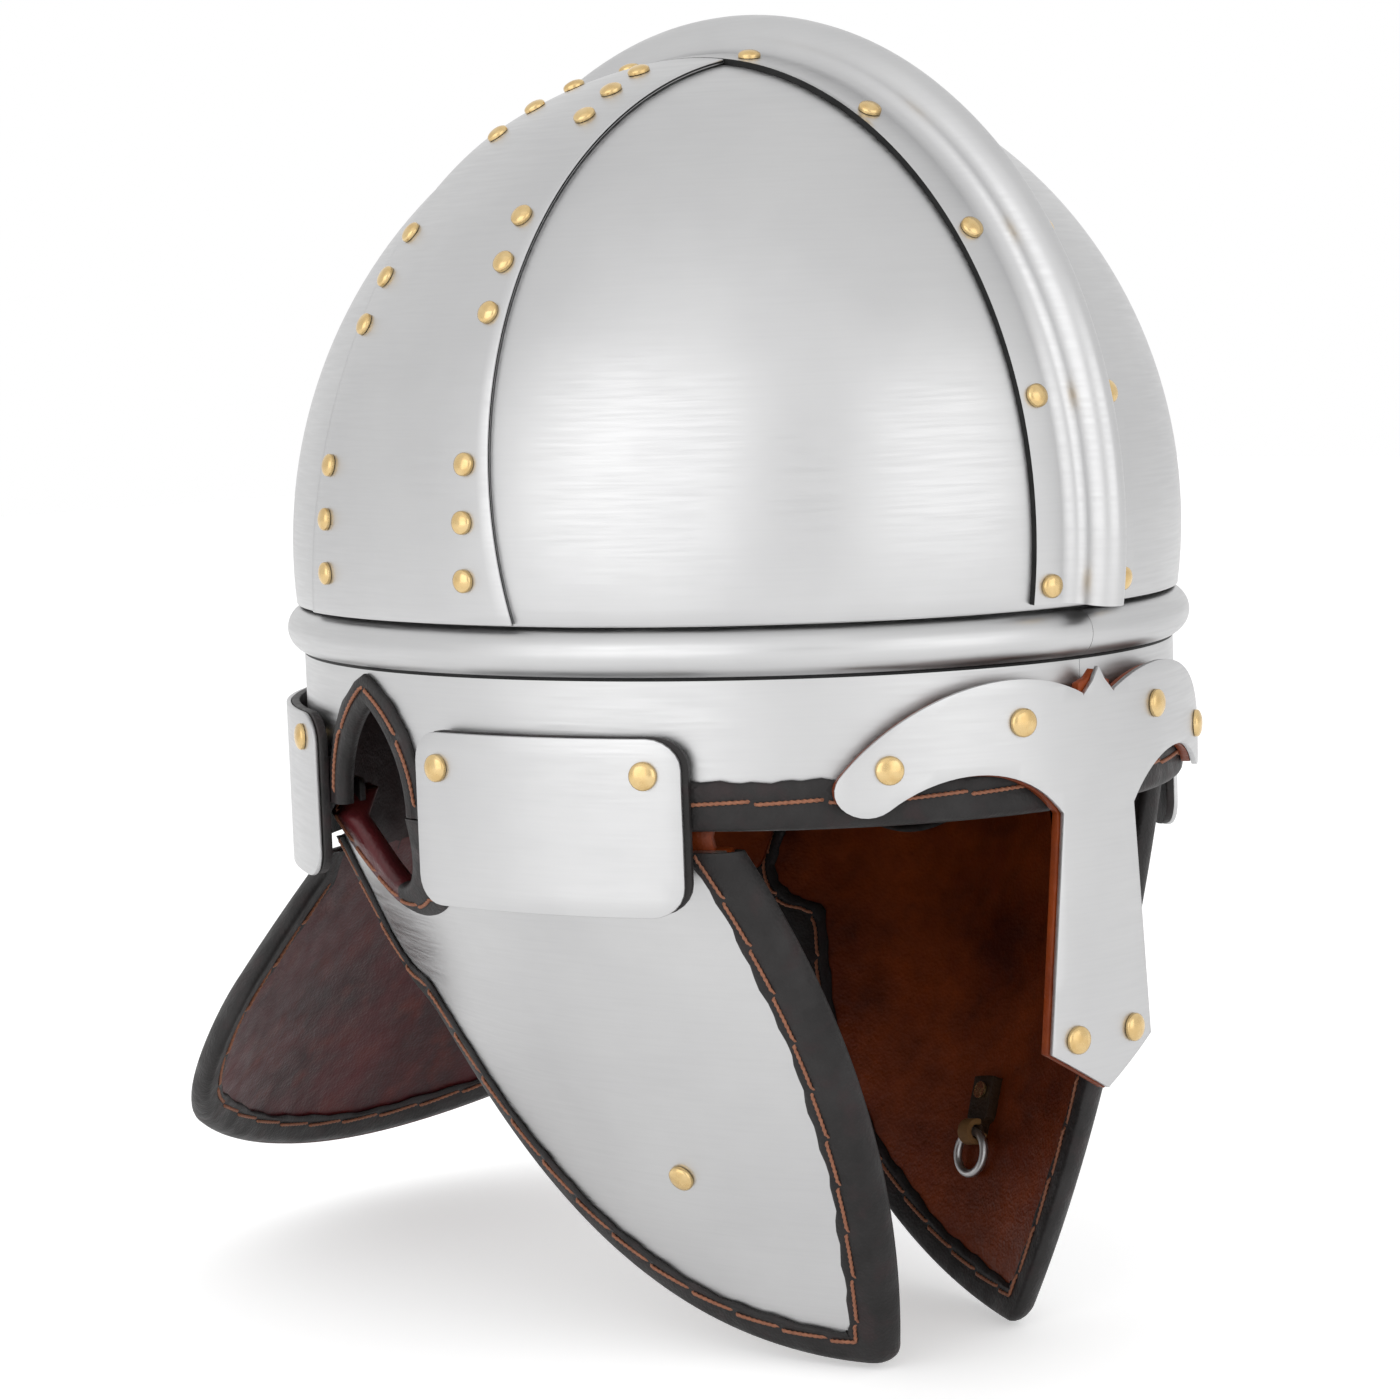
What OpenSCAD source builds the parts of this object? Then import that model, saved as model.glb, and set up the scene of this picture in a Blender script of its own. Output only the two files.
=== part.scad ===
// Segmented ridge helmet with brow plate, cheek guards and neck guard.
// Front is -Y, the wearer's left is +X, and z = 0 is the lower edge of the rim.

/* [Rim] */
// Half width of the rim band across the ears
rim_half_width = 101; // [92:0.5:110]
// Half length of the rim band from front to back
rim_half_length = 118; // [108:0.5:128]
// Sheet thickness of the rim band
band_wall = 1.5; // [1.2:0.1:2]
// Radius of the rolled bead under the dome
bead_radius = 6.2; // [5:0.1:7]
// How far the bead stands out of the band
bead_reach = 3.8; // [3:0.1:4.5]
// Height of the middle of the bead
bead_mid_z = 40.2; // [39:0.1:44]
// Height of the collar that stands inside the dome
collar_height = 16; // [14:0.5:20]
// How far the collar is set in from the band
collar_step = 0.7; // [0.6:0.1:1.2]

/* [Dome] */
// How far the dome stands outside the rim band
dome_overhang = 2; // [1.5:0.1:3]
// Height of the dome's widest level
dome_widest_z = 60; // [56:0.5:64]
// Rise of the crown above the widest level
dome_rise = 118; // [105:1:130]
// How far forward the crown leans
crown_lean = 5.5; // [0:0.5:8]
// Sheet thickness of the dome plates
plate_wall = 1.5; // [1.2:0.1:2]
// Gap between neighbouring dome plates
plate_joint = 1; // [0.6:0.1:2]
// Radius left open at the crown, under the crest
crown_hole = 6; // [4:0.5:9]

/* [Side straps] */
// Width of a side strap at the rim
strap_base_width = 75; // [60:1:85]
// Width of a side strap at the crown
strap_top_width = 27; // [24:1:36]
// How far a strap's edges draw in between rim and crown
strap_waist = 3; // [1:0.5:4]
// How far behind the middle the straps stand
strap_shift = 3; // [0:0.5:6]
// Sheet thickness of the straps
strap_wall = 1.2; // [1:0.1:1.6]
// Distance from a strap's edge to its rivet row
strap_rivet_inset = 9.5; // [8:0.5:11]
// Elevation of the lowest strap rivet, in degrees
strap_rivet_first = -1.6; // [-2:0.1:0]
// Elevation between the rivets of one group of three
strap_rivet_pitch = 6.7; // [5.5:0.1:7]
// Elevation between groups of three rivets
strap_group_pitch = 31.5; // [29:0.1:32]

/* [Crest] */
// Half width of the crest over both flanges
crest_half_width = 16.5; // [15.5:0.5:18]
// Height of the comb above the dome
comb_height = 10.5; // [10:0.5:14]
// Half width of the comb
comb_half_width = 4.8; // [4:0.1:5]
// Sheet thickness of the crest
crest_wall = 1.2; // [1:0.1:1.6]
// Angle of the lowest crest rivet, in degrees
crest_rivet_first = -4; // [-4.4:0.1:-2]
// Rivets along each flange
crest_rivet_count = 10; // [6:2:14]

/* [Brow plate] */
// Sheet thickness of the brow plate and the hinge plates
face_wall = 1.2; // [1:0.1:1.6]
// Radius of the upper edge of each brow
brow_arc_r = 43.3; // [42:0.1:45]
// Sideways place of the brow arc's centre
brow_arc_x = 24.9; // [24:0.1:26]
// Height of the brow arc's centre
brow_arc_z = -11.7; // [-13:0.1:-11]
// Radius of the eye opening under each brow
eye_arc_r = 28.3; // [27:0.1:29]
// Sideways place of the eye opening's centre
eye_arc_x = 34.2; // [33:0.1:35]
// Height of the eye opening's centre
eye_arc_z = -17.5; // [-19:0.1:-17]
// Angle of the brow's tail about the brow arc's centre
brow_tail_angle = 33; // [30:0.5:36]
// Radius of the brow's rounded tail
brow_tail_r = 5.9; // [5:0.1:6.5]
// Half width of the small point over the nose
spike_half = 5.5; // [4:0.1:7]
// Height of the small point's tip
spike_tip_z = 32.6; // [30:0.1:33]
// Half width of the nasal at its root
nasal_root_half = 12; // [10:0.1:13]
// Half width of the nasal at its lower corners
nasal_low_half = 17; // [15:0.1:19]
// Height of the nasal's lower corners
nasal_corner_z = -55; // [-60:0.5:-50]
// How far the nasal's tip drops below its corners
nasal_point = 10; // [6:0.5:14]
// Sideways place of the outer brow rivets
brow_rivet_out = 52.2; // [51:0.1:53]
// Height of the outer brow rivets
brow_rivet_out_z = 13.3; // [12.5:0.1:14]
// Sideways place of the inner brow rivets
brow_rivet_in = 22.7; // [20:0.1:26]
// Height of the inner brow rivets
brow_rivet_in_z = 21.8; // [20.5:0.1:23]
// Sideways place of the nasal rivets
nasal_rivet_x = 9.6; // [8:0.1:10]
// Height of the nasal rivets above the nasal's corners
nasal_rivet_rise = 2.6; // [2:0.1:4]
// How far the leather backing shows past the brow plate
backing_show = 0.8; // [0.4:0.1:1.2]

/* [Leather] */
// Thickness of the folded edging and trim leather
edging_wall = 1.5; // [1.2:0.1:1.8]
// Height of the edging on the rim
edging_height = 11.5; // [9:0.5:11.5]
// Height of the edging where it is turned in behind the rim
edging_turn_in = 9; // [7:0.5:9.5]
// Thickness of the backing behind the steel plates
backing_wall = 2; // [1.5:0.1:2.5]
// Thickness of the guards' lining and of the hinge leather
lining_wall = 2.5; // [2:0.1:3]
// Width of the binding along a guard's edge
binding_width = 9; // [7:0.5:11]
// Thickness of the binding leather
binding_wall = 1.2; // [1:0.1:1.5]

/* [Ear openings] */
// How far behind the middle the ear openings lie
ear_y = 20; // [17:0.5:22]
// Half width of an ear opening
ear_half_width = 15; // [13:0.5:16]
// Height of an ear opening's pointed arch
ear_rise = 25; // [22:0.5:25]
// Width of the leather trim round an ear opening
ear_trim_width = 7.5; // [6:0.5:7.5]
// Depth of the leather loop under the ear, at its middle line
ear_loop_depth = 4; // [3:0.5:6]
// Width of the leather loop under the ear
ear_loop_width = 8; // [6:0.5:9]
// Slant of the guard's top behind the ear, so that it clears the rim as the guard swings in
ear_slant = 6; // [5:0.5:10]

/* [Hinge plates] */
// Front end of a cheek hinge plate
cheek_plate_front = -74.5; // [-80:0.5:-70]
// Rear end of a cheek hinge plate
cheek_plate_rear = -5.5; // [-12:0.5:-5]
// Upper edge of the hinge plates
hinge_plate_top = 21.6; // [20:0.1:24]
// Lower edge of the hinge plates
hinge_plate_low = -19; // [-20:0.5:-14]
// Corner radius of the hinge plates
hinge_plate_corner = 7; // [3:0.5:9]
// Angle round the rim where a neck hinge plate starts
neck_plate_first = 20.8; // [20:0.2:24]
// Angle round the rim where a neck hinge plate ends
neck_plate_last = 82; // [76:0.5:84]
// Angle from a neck hinge plate's end to its rivet
neck_rivet_turn = 4.4; // [4:0.1:6]
// Height of the rivets in the cheek hinge plates
hinge_rivet_z = 13.3; // [13.2:0.1:15]
// Distance from a hinge plate's end to its rivet
hinge_rivet_inset = 7.5; // [6:0.5:10]
// Height of the rivets in the neck hinge plate
neck_rivet_z = 15.6; // [14:0.1:16]

/* [Cheek guards] */
// Radius that a cheek guard is rolled to
cheek_radius = 150; // [140:1:165]
// Tilt of a cheek guard inwards from upright
cheek_tilt = 24.7; // [20:0.1:26]
// Sweep of a cheek guard's lower end to the front
cheek_sweep = 5.8; // [3:0.1:7]
// How far in front of the middle the rolled axis lies
cheek_axis_front = 6.2; // [4:0.1:9]
// Front edge: radius of its curve
cheek_front_r = 232; // [200:1:260]
// Front edge: foremost point
cheek_front_y = -85.5; // [-88:0.5:-82]
// Front edge: height of its foremost point
cheek_front_z = -62; // [-68:0.5:-56]
// Lower edge: radius of its curve
cheek_low_r = 117.5; // [112:0.5:121]
// Lower edge: place of its lowest point from front to back
cheek_low_y = -68; // [-71:0.5:-65]
// Lower edge: lowest point
cheek_low_z = -135.5; // [-142:0.5:-128]
// Rear edge of a cheek guard
cheek_rear_y = 64; // [62:0.5:66]
// Radius of the rear lower corner
cheek_rear_r = 22; // [20:0.5:24]
// Height of the middle of that corner
cheek_rear_z = -33; // [-36:0.5:-30]
// Gap between the rim and the top of a guard
guard_drop = 5; // [4.8:0.1:6]
// Place of the cheek hinge from front to back
cheek_hinge_y = -40; // [-46:1:-34]

/* [Neck guard] */
// Radius that the neck guard is rolled to at its hinge
neck_radius = 115; // [108:1:125]
// Flare of the neck guard from upright
neck_flare = 28; // [22:0.5:32]
// Half width of the neck guard at its hinge
neck_top_half = 59; // [54:0.5:62]
// Half width of the leather that the neck guard hangs from
neck_leather_half = 36; // [30:0.5:40]
// Height where the neck guard starts to widen
neck_shoulder_z = -28; // [-30:0.5:-26]
// Half width of the neck guard at its widest
neck_half_width = 91; // [86:0.5:94]
// Lowest point of the neck guard
neck_low_z = -118; // [-124:0.5:-112]
// Radius of the neck guard's lower edge
neck_low_r = 150; // [140:1:170]
// Radius of the neck guard's corners
neck_corner_r = 28; // [24:0.5:32]

/* [Hinges] */
// Length of a leather hinge fold
knuckle_length = 26; // [18:1:30]
// Running gap at a hinge fold
knuckle_gap = 0.35; // [0.3:0.05:0.5]
// How far the cheek hinge leather hangs below the rim
cheek_leather_drop = 0.6; // [0.4:0.1:0.8]
// How far the hinge leather reaches up inside the rim
hinge_leather_top = 20; // [18.5:0.5:22]

/* [Chin rings] */
// Angle of a chin ring round the rolled guard
chin_angle = -10.8; // [-14:0.2:-8]
// Place of a chin rivet along the guard's rolled axis
chin_height = -33.8; // [-40:0.2:-28]
// Middle radius of a chin ring
ring_radius = 5.4; // [5:0.1:7]
// Wire radius of a chin ring
ring_wire = 1.1; // [0.9:0.05:1.3]
// Lean of the ring towards the lining, in degrees
ring_lean = 8; // [4:0.5:9]
// Width of the chin tab
tab_width = 8; // [7:0.5:10]
// Width of the eye that holds the ring
tab_eye_width = 4.4; // [4:0.1:5]
// Bore radius of the eye
tab_bore = 1.9; // [1.8:0.05:2]
// Thickness of the tab's leather
tab_wall = 1.5; // [1.2:0.1:1.8]
// Drop from the chin rivet to the eye
tab_drop = 11; // [10:0.5:13]

/* [Rivets] */
// Head diameter of the dome rivets
dome_head = 5.5; // [4.5:0.1:6]
// Head diameter of the plate rivets
plate_head = 6.6; // [5.5:0.1:7]
// Rise of a rivet head
head_rise = 1.9; // [1.5:0.1:2.3]
// Shank diameter of a rivet
shank = 3; // [2.5:0.1:3.2]
// Diameter of a peened tail
tail = 4.4; // [4:0.1:5]
// Thickness of a peened tail
tail_rise = 0.8; // [0.6:0.1:1]

/* [Liner] */
// Thickness of the liner leather
liner_wall = 2.5; // [2:0.1:3]
// Lower edge of the liner band
liner_low = 36; // [35:0.5:38]
// Gap between the dome and the liner cap
liner_stand = 5.5; // [5:0.1:8]

/* [Hidden] */
$fn = 96;
layer_gap = 0.1;
rivet_gap = 0.05;
tail_gap = 0.35;
hole_gap = 0.1;
strap_gap = 0.3;
over = 1;
reach = 260;
strap_group = 3;
butt = 0.3;
corner_lap = 0.2;
hole_depth = 14;

steel = "#c4c6c8";
brass = "#c9a75a";
black_leather = "#2c2a29";
brown_leather = "#7a3f1c";
oxblood_leather = "#4a1d22";
liner_leather = "#8a6a48";

// Oval of the rim, and the dome's round form stretched over it
rim_k = rim_half_length / rim_half_width;
dome_r = rim_half_width + dome_overhang;
dome_k = dome_rise / dome_r;
dome_seat_z = bead_mid_z + bead_radius + layer_gap;
seat = (dome_seat_z - dome_widest_z) / dome_k;
lean = crown_lean / (dome_widest_z + dome_rise - dome_seat_z);
collar_top = bead_mid_z + bead_radius + collar_height;

// Layers on the rim, measured outwards from the band's outer face
trim_out = layer_gap + edging_wall;
trim_in = -band_wall - layer_gap - edging_wall;
backing_in = trim_out + layer_gap;
backing_out = backing_in + backing_wall;
face_in = backing_out + layer_gap;
face_out = face_in + face_wall;
leather_out = trim_in - layer_gap;
leather_in = leather_out - lining_wall;
liner_out = -band_wall - collar_step - layer_gap;
liner_in = liner_out - liner_wall;
liner_top = collar_top - layer_gap;
strap_in = dome_r + layer_gap;
strap_out = strap_in + strap_wall;
crest_out = strap_in + crest_wall;
comb_top = strap_in + comb_height / dome_k - comb_half_width;
comb_fillet = 0.9 * (comb_top - crest_out);
crest_end = asin(-seat / (comb_top + comb_half_width));

// Side strap edges, as arcs in the dome's round form
strap_low = [strap_base_width / 2 / rim_k, seat];
strap_high = [strap_top_width / 2 / rim_k, dome_r];
strap_dip = strap_waist / rim_k;
strap_span = norm(strap_high - strap_low);
strap_arc_r = (strap_span * strap_span / 4 + strap_dip * strap_dip) / (2 * strap_dip);
strap_dir = (strap_high - strap_low) / strap_span;
strap_end = norm([crest_half_width + strap_gap, strap_high.x + strap_shift / rim_k + strap_gap]);
strap_arc = (strap_low + strap_high) / 2 + (strap_arc_r - strap_dip) * [strap_dir.y, -strap_dir.x];

// Ear arch, as two arcs in the rim's round form
ear_half = ear_half_width / rim_k;
ear_arc_r = (ear_rise * ear_rise + ear_half * ear_half) / (2 * ear_half);
ear_arc_off = ear_arc_r - ear_half;
loop_z = -ear_loop_depth;
loop_top = -guard_drop - layer_gap;
loop_r = ear_half_width + ear_loop_width;

// Layers of a cheek guard, as radii of its rolled form
cheek_face = cheek_radius - binding_wall;
cheek_plate_in = cheek_face - face_wall;
cheek_lining_out = cheek_plate_in - layer_gap;
cheek_lining_in = cheek_lining_out - lining_wall;
cheek_inside = cheek_lining_in - layer_gap - binding_wall;
cheek_axis_x = cheek_radius / cos(cheek_tilt) - rim_half_width;
cheek_up = [cos(cheek_sweep) * sin(cheek_tilt), sin(cheek_sweep), cos(cheek_sweep) * cos(cheek_tilt)];
fold = binding_wall + layer_gap;

// Hinge folds
knuckle_r = lining_wall / 2;
cheek_fold_z = -cheek_leather_drop - knuckle_gap - knuckle_r;
cheek_fold_r = (cheek_lining_in + cheek_lining_out) / 2;
cheek_fold_x = cheek_x(cheek_hinge_y, cheek_fold_z, cheek_fold_r);
cheek_fold_turn = atan(cheek_x(cheek_hinge_y - 1, cheek_fold_z, cheek_fold_r) - cheek_fold_x);
cheek_tongue_wall = lining_wall - sag(cheek_lining_in) - 2 * layer_gap;
neck_leather_low = hinge_plate_low - cheek_leather_drop;
neck_fold_z = neck_leather_low - knuckle_gap - knuckle_r;
neck_fold_y = rim_half_length + rim_k * (leather_in + leather_out) / 2;
neck_top_z = neck_fold_z - knuckle_r;
neck_axis_y = neck_fold_y - knuckle_r / cos(neck_flare) - neck_radius;
neck_tongue_wall = lining_wall - sag(neck_radius) - 2 * layer_gap;
neck_plate_off = lining_wall + layer_gap;
neck_face = neck_plate_off + face_wall;
neck_arc_z = neck_low_z + neck_low_r;
neck_corner_x = neck_half_width - neck_corner_r;
neck_corner_z = neck_arc_z - sqrt(pow(neck_low_r - neck_corner_r, 2) - pow(neck_corner_x, 2));
neck_shoulder_turn = 50;

// Chin tab, measured inwards from the lining
eye_r = tab_bore + tab_wall;
eye_in = eye_r + layer_gap;

// How far a straight hinge tongue stands off a sheet rolled to a radius
function sag(r) = r - sqrt(r * r - knuckle_length * knuckle_length / 4);

// x of a cheek guard's rolled form at a given y, z and radius, on the left side
function cheek_x(y, z, r) =
    let (
        dy = y + cheek_axis_front,
        k = cheek_up.y * dy + cheek_up.z * z,
        a = 1 - cheek_up.x * cheek_up.x,
        c = dy * dy + z * z - k * k - r * r
    )
    (cheek_up.x * k + sqrt(cheek_up.x * cheek_up.x * k * k - a * c)) / a - cheek_axis_x;

// Place and outward direction of a point of the dome's round form
function dome_point(u) =
    let (z = dome_widest_z + dome_k * u.z)
    [u.x, rim_k * u.y - lean * (z - dome_seat_z), z];
function dome_normal(u) =
    let (ny = u.y / rim_k)
    [u.x, ny, u.z / dome_k + lean * ny];

// Half width of a side strap at a height of the round form
function strap_half(h) = strap_arc.x - sqrt(strap_arc_r * strap_arc_r - pow(h - strap_arc.y, 2));

// Strap rivet on the round form; row is -1 for the front row and 1 for the rear row
function strap_rivet(row, group, i) =
    let (
        h = strap_out * sin(strap_rivet_first + group * strap_group_pitch + i * strap_rivet_pitch),
        y = strap_shift / rim_k + row * (strap_half(h) - strap_rivet_inset / rim_k)
    )
    [sqrt(strap_out * strap_out - h * h - y * y), y, h];

// Crest rivet on the round form, counted from the front
function crest_rivet(i) =
    let (
        a = crest_rivet_first + i * (180 - 2 * crest_rivet_first) / (crest_rivet_count - 1),
        x = (crest_half_width + comb_half_width + comb_fillet) / 2,
        ring = sqrt(crest_out * crest_out - x * x)
    )
    [x, -ring * cos(a), ring * sin(a)];

// Angle round the rim for a place across or along the face of its plates
function turn_at_x(x) = asin(x / (rim_half_width + face_out));
function turn_at_y(y) = acos(-y / (rim_half_length + rim_k * face_out));

// How much a layer's thickness grows with the oval at an angle round the rim
function rim_stretch(turn) = rim_k / norm([rim_k * sin(turn), cos(turn)]);

// Rivets through the rim on the wearer's left side, as angle and height
brow_spots = [[turn_at_x(brow_rivet_out), brow_rivet_out_z], [turn_at_x(brow_rivet_in), brow_rivet_in_z]];
nasal_spots = [[turn_at_x(nasal_rivet_x), nasal_corner_z + nasal_rivet_rise]];
cheek_spots = [
    [turn_at_y(cheek_plate_front + hinge_rivet_inset), hinge_rivet_z],
    [turn_at_y(cheek_plate_rear - hinge_rivet_inset), hinge_rivet_z]
];
neck_end_spots = [[90 + neck_plate_first + neck_rivet_turn, neck_rivet_z]];
neck_leather_spots = [[90 + neck_plate_last - neck_rivet_turn, neck_rivet_z]];

module oval() { scale([1, rim_k, 1]) children(); }

module dome_form() {
    multmatrix([[1, 0, 0, 0], [0, 1, -lean, lean * dome_seat_z], [0, 0, 1, 0], [0, 0, 0, 1]])
        translate([0, 0, dome_widest_z])
            scale([1, rim_k, dome_k])
                children();
}

module mirrored(flip) {
    if (flip)
        mirror([1, 0, 0]) children();
    else
        children();
}

module through_side() { rotate([90, 0, 90]) linear_extrude(reach) children(); }
module through_both() { rotate([90, 0, 90]) linear_extrude(2 * reach, center = true) children(); }
module through_front() { rotate([90, 0, 0]) linear_extrude(reach) children(); }
module through_back() { mirror([0, 1, 0]) through_front() children(); }

// Piece of wall round the rim, from one angle over a sweep
module wall_arc(inner, outer, low, high, start, sweep) {
    rotate([0, 0, start])
        rotate_extrude(angle = sweep)
            translate([rim_half_width + inner, low]) square([outer - inner, high - low]);
}

module front_wall(inner, outer, low, high) { wall_arc(inner, outer, low, high, 180, 180); }
module rear_wall(inner, outer, low, high) { wall_arc(inner, outer, low, high, 0, 180); }
module side_wall(inner, outer, low, high) { wall_arc(inner, outer, low, high, -90, 180); }

module rounded_rect(x0, x1, y0, y1, r) {
    translate([x0 + r, y0]) square([x1 - x0 - 2 * r, y1 - y0]);
    translate([x0, y0 + r]) square([x1 - x0, y1 - y0 - 2 * r]);
    for (x = [x0 + r, x1 - r], y = [y0 + r, y1 - r])
        translate([x, y]) circle(r);
}

// Rivet with its head's underside at z = 0, and the hole it needs
module rivet(head, grip) {
    cap = (head_rise * head_rise + head * head / 4) / (2 * head_rise);
    rotate_extrude() {
        intersection() {
            translate([0, head_rise - cap]) circle(cap);
            square([head / 2, head_rise]);
        }
        translate([0, -grip - tail_rise]) square([shank / 2, grip + tail_rise + head_rise / 2]);
        translate([0, -grip - tail_rise]) square([tail / 2, tail_rise]);
    }
}

module hole(depth = hole_depth) {
    rotate([0, 0, 90]) cylinder(d = shank + 2 * hole_gap, h = 2 * depth, center = true);
}

module stand_at(point, normal) {
    translate(point)
        rotate([0, acos(normal.z / norm(normal)), atan2(normal.y, normal.x)])
            translate([0, 0, rivet_gap])
                children();
}

module at_dome(u) { stand_at(dome_point(u), dome_normal(u)) children(); }

module at_spots(spots) {
    r = rim_half_width + face_out;
    for (spot = spots)
        stand_at(
            [r * sin(spot.x), -rim_k * r * cos(spot.x), spot.y],
            [rim_k * sin(spot.x), -cos(spot.x), 0]
        )
            children();
}

module rim_rivets(spots, inner) {
    for (flip = [false, true], spot = spots)
        mirrored(flip)
            at_spots([spot]) rivet(plate_head, (face_out - inner) * rim_stretch(spot.x) + 2 * rivet_gap);
}

// Rivet places on the wearer's left side
module at_strap(row, base) {
    for (group = [0 : strap_group - 1], i = [0 : strap_group - 1])
        if ((group + i == 0) == base)
            at_dome(strap_rivet(row, group, i)) children();
}

module at_crest(rear, base) {
    half = crest_rivet_count / 2;
    for (i = [0 : half - 1])
        if ((i == 0) == base)
            at_dome(crest_rivet(rear ? crest_rivet_count - 1 - i : i)) children();
}

// Dome
module dome_shell(inner, outer, low, open, start, sweep) {
    rotate([0, 0, start])
        rotate_extrude(angle = sweep)
            intersection() {
                difference() {
                    circle(outer);
                    circle(inner);
                }
                translate([open, low]) square(2 * dome_r);
            }
}

module dome_plate(flip, rear) {
    joint = asin(plate_joint / 2 / dome_r);
    color(steel)
        mirrored(flip)
            difference() {
                dome_form()
                    dome_shell(
                        dome_r - plate_wall, dome_r, seat, crown_hole,
                        (rear ? 0 : -90) + joint, 90 - 2 * joint
                    );
                for (base = [false, true]) {
                    at_strap(rear ? 1 : -1, base) hole();
                    at_crest(rear, base) hole();
                }
            }
}

module side_strap(flip) {
    color(steel)
        mirrored(flip)
            difference() {
                dome_form()
                    intersection() {
                        dome_shell(strap_in, strap_out, seat, strap_end, -80, 160);
                        through_side()
                            translate([strap_shift / rim_k, 0])
                                difference() {
                                    translate([-dome_r, -dome_r]) square(2 * strap_out);
                                    for (m = [0, 1])
                                        mirror([m, 0]) translate(strap_arc) circle(strap_arc_r, $fn = 720);
                                }
                    }
                for (row = [-1, 1], base = [false, true])
                    at_strap(row, base) hole();
            }
}

module crest_section() {
    foot = comb_half_width + comb_fillet;
    half_wall = crest_wall / 2;
    difference() {
        union() {
            intersection() {
                difference() {
                    circle(crest_out);
                    circle(strap_in);
                }
                translate([0, -crest_half_width]) square([2 * dome_r, 2 * crest_half_width]);
            }
            difference() {
                translate([strap_in + half_wall, -foot]) square([half_wall + comb_fillet, 2 * foot]);
                for (y = [-foot, foot])
                    translate([crest_out + comb_fillet, y]) circle(comb_fillet);
            }
            translate([strap_in + half_wall, -comb_half_width])
                square([comb_top - strap_in - half_wall, 2 * comb_half_width]);
            intersection() {
                translate([comb_top, 0]) circle(comb_half_width);
                translate([strap_in + half_wall, -comb_half_width]) square(2 * (comb_half_width + comb_fillet));
            }
        }
        translate([dome_r - over, crest_wall - comb_half_width])
            square([comb_top - dome_r + over, 2 * (comb_half_width - crest_wall)]);
        translate([comb_top, 0]) circle(comb_half_width - crest_wall);
    }
}

module crest_ridge() {
    color(steel)
        difference() {
            dome_form()
                rotate([0, 90, 0])
                    rotate([0, 0, 90 - crest_end]) rotate_extrude(angle = 180 + 2 * crest_end) crest_section();
            for (flip = [false, true], rear = [false, true], base = [false, true])
                mirrored(flip) at_crest(rear, base) hole();
        }
}

// Rim
module ear_arch(grow) {
    intersection_for (m = [0, 1])
        translate([ear_y / rim_k + (2 * m - 1) * ear_arc_off, 0]) circle(ear_arc_r + grow);
}

module rim_section() {
    low = edging_wall + layer_gap;
    bead_r = rim_half_width + bead_reach - bead_radius;
    inside = rim_half_width - band_wall;
    translate([inside, low]) square([band_wall, bead_mid_z - bead_radius + band_wall / 2 - low]);
    intersection() {
        difference() {
            translate([bead_r, bead_mid_z]) circle(bead_radius);
            translate([bead_r, bead_mid_z]) circle(bead_radius - band_wall);
        }
        translate([inside, 0]) square(2 * collar_top);
    }
    translate([inside - collar_step, bead_mid_z + bead_radius - band_wall / 2])
        square([band_wall, collar_height + band_wall / 2]);
}

module rim_band(flip) {
    color(steel)
        mirrored(flip)
            difference() {
                oval()
                    difference() {
                        rotate([0, 0, butt - 90]) rotate_extrude(angle = 180 - 2 * butt) rim_section();
                        through_side() ear_arch(trim_out);
                    }
                for (row = [-1, 1])
                    at_strap(row, true) hole();
                for (rear = [false, true])
                    at_crest(rear, true) hole();
                for (spots = [brow_spots, cheek_spots, neck_end_spots, neck_leather_spots])
                    at_spots(spots) hole();
            }
}

module rim_edging(rear) {
    split = asin(ear_y / rim_half_length);
    start = rear ? split : 180 - split;
    sweep = rear ? 180 - 2 * split : 180 + 2 * split;
    color(black_leather)
        oval()
            difference() {
                wall_arc(trim_in, trim_out, 0, edging_height, start, sweep);
                wall_arc(
                    -band_wall - layer_gap, layer_gap, edging_wall, edging_height + over,
                    start - over, sweep + 2 * over
                );
                wall_arc(
                    trim_in - over, 0, edging_turn_in, edging_height + over,
                    start - over, sweep + 2 * over
                );
                through_both() ear_arch(ear_trim_width + layer_gap);
            }
}

module ear_trim(flip) {
    color(black_leather)
        mirrored(flip)
            oval()
                difference() {
                    intersection() {
                        side_wall(trim_in, trim_out, 0, bead_mid_z);
                        through_side()
                            difference() {
                                ear_arch(ear_trim_width);
                                ear_arch(0);
                            }
                    }
                    difference() {
                        side_wall(-band_wall - layer_gap, layer_gap, -over, bead_mid_z + over);
                        through_side() ear_arch(edging_wall);
                    }
                }
}

// Brow plate and its backing
module brow_outline(grow) {
    tail_mid = brow_arc_r - brow_tail_r;
    side = [cos(brow_tail_angle), sin(brow_tail_angle)];
    centre = [brow_arc_x, brow_arc_z];
    root_z = eye_arc_z + eye_arc_r;
    root = nasal_root_half + grow;
    low = nasal_low_half + grow;
    spike = spike_half + grow;
    for (m = [0, 1])
        mirror([m, 0]) {
            intersection() {
                difference() {
                    translate(centre) circle(brow_arc_r + grow);
                    translate([eye_arc_x, eye_arc_z]) circle(eye_arc_r - grow);
                }
                polygon([
                    [-spike_half, brow_arc_z], centre, centre + reach * side,
                    [reach, reach], [-spike_half, reach]
                ]);
            }
            translate(centre + tail_mid * side) circle(brow_tail_r + grow);
        }
    polygon([
        [-root, root_z], [-root, 0], [-low, nasal_corner_z], [0, nasal_corner_z - nasal_point - grow],
        [low, nasal_corner_z], [root, 0], [root, root_z]
    ]);
    polygon([
        [-spike, 0], [spike, 0], [spike, spike_tip_z - spike_half],
        [0, spike_tip_z + grow], [-spike, spike_tip_z - spike_half]
    ]);
}

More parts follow.
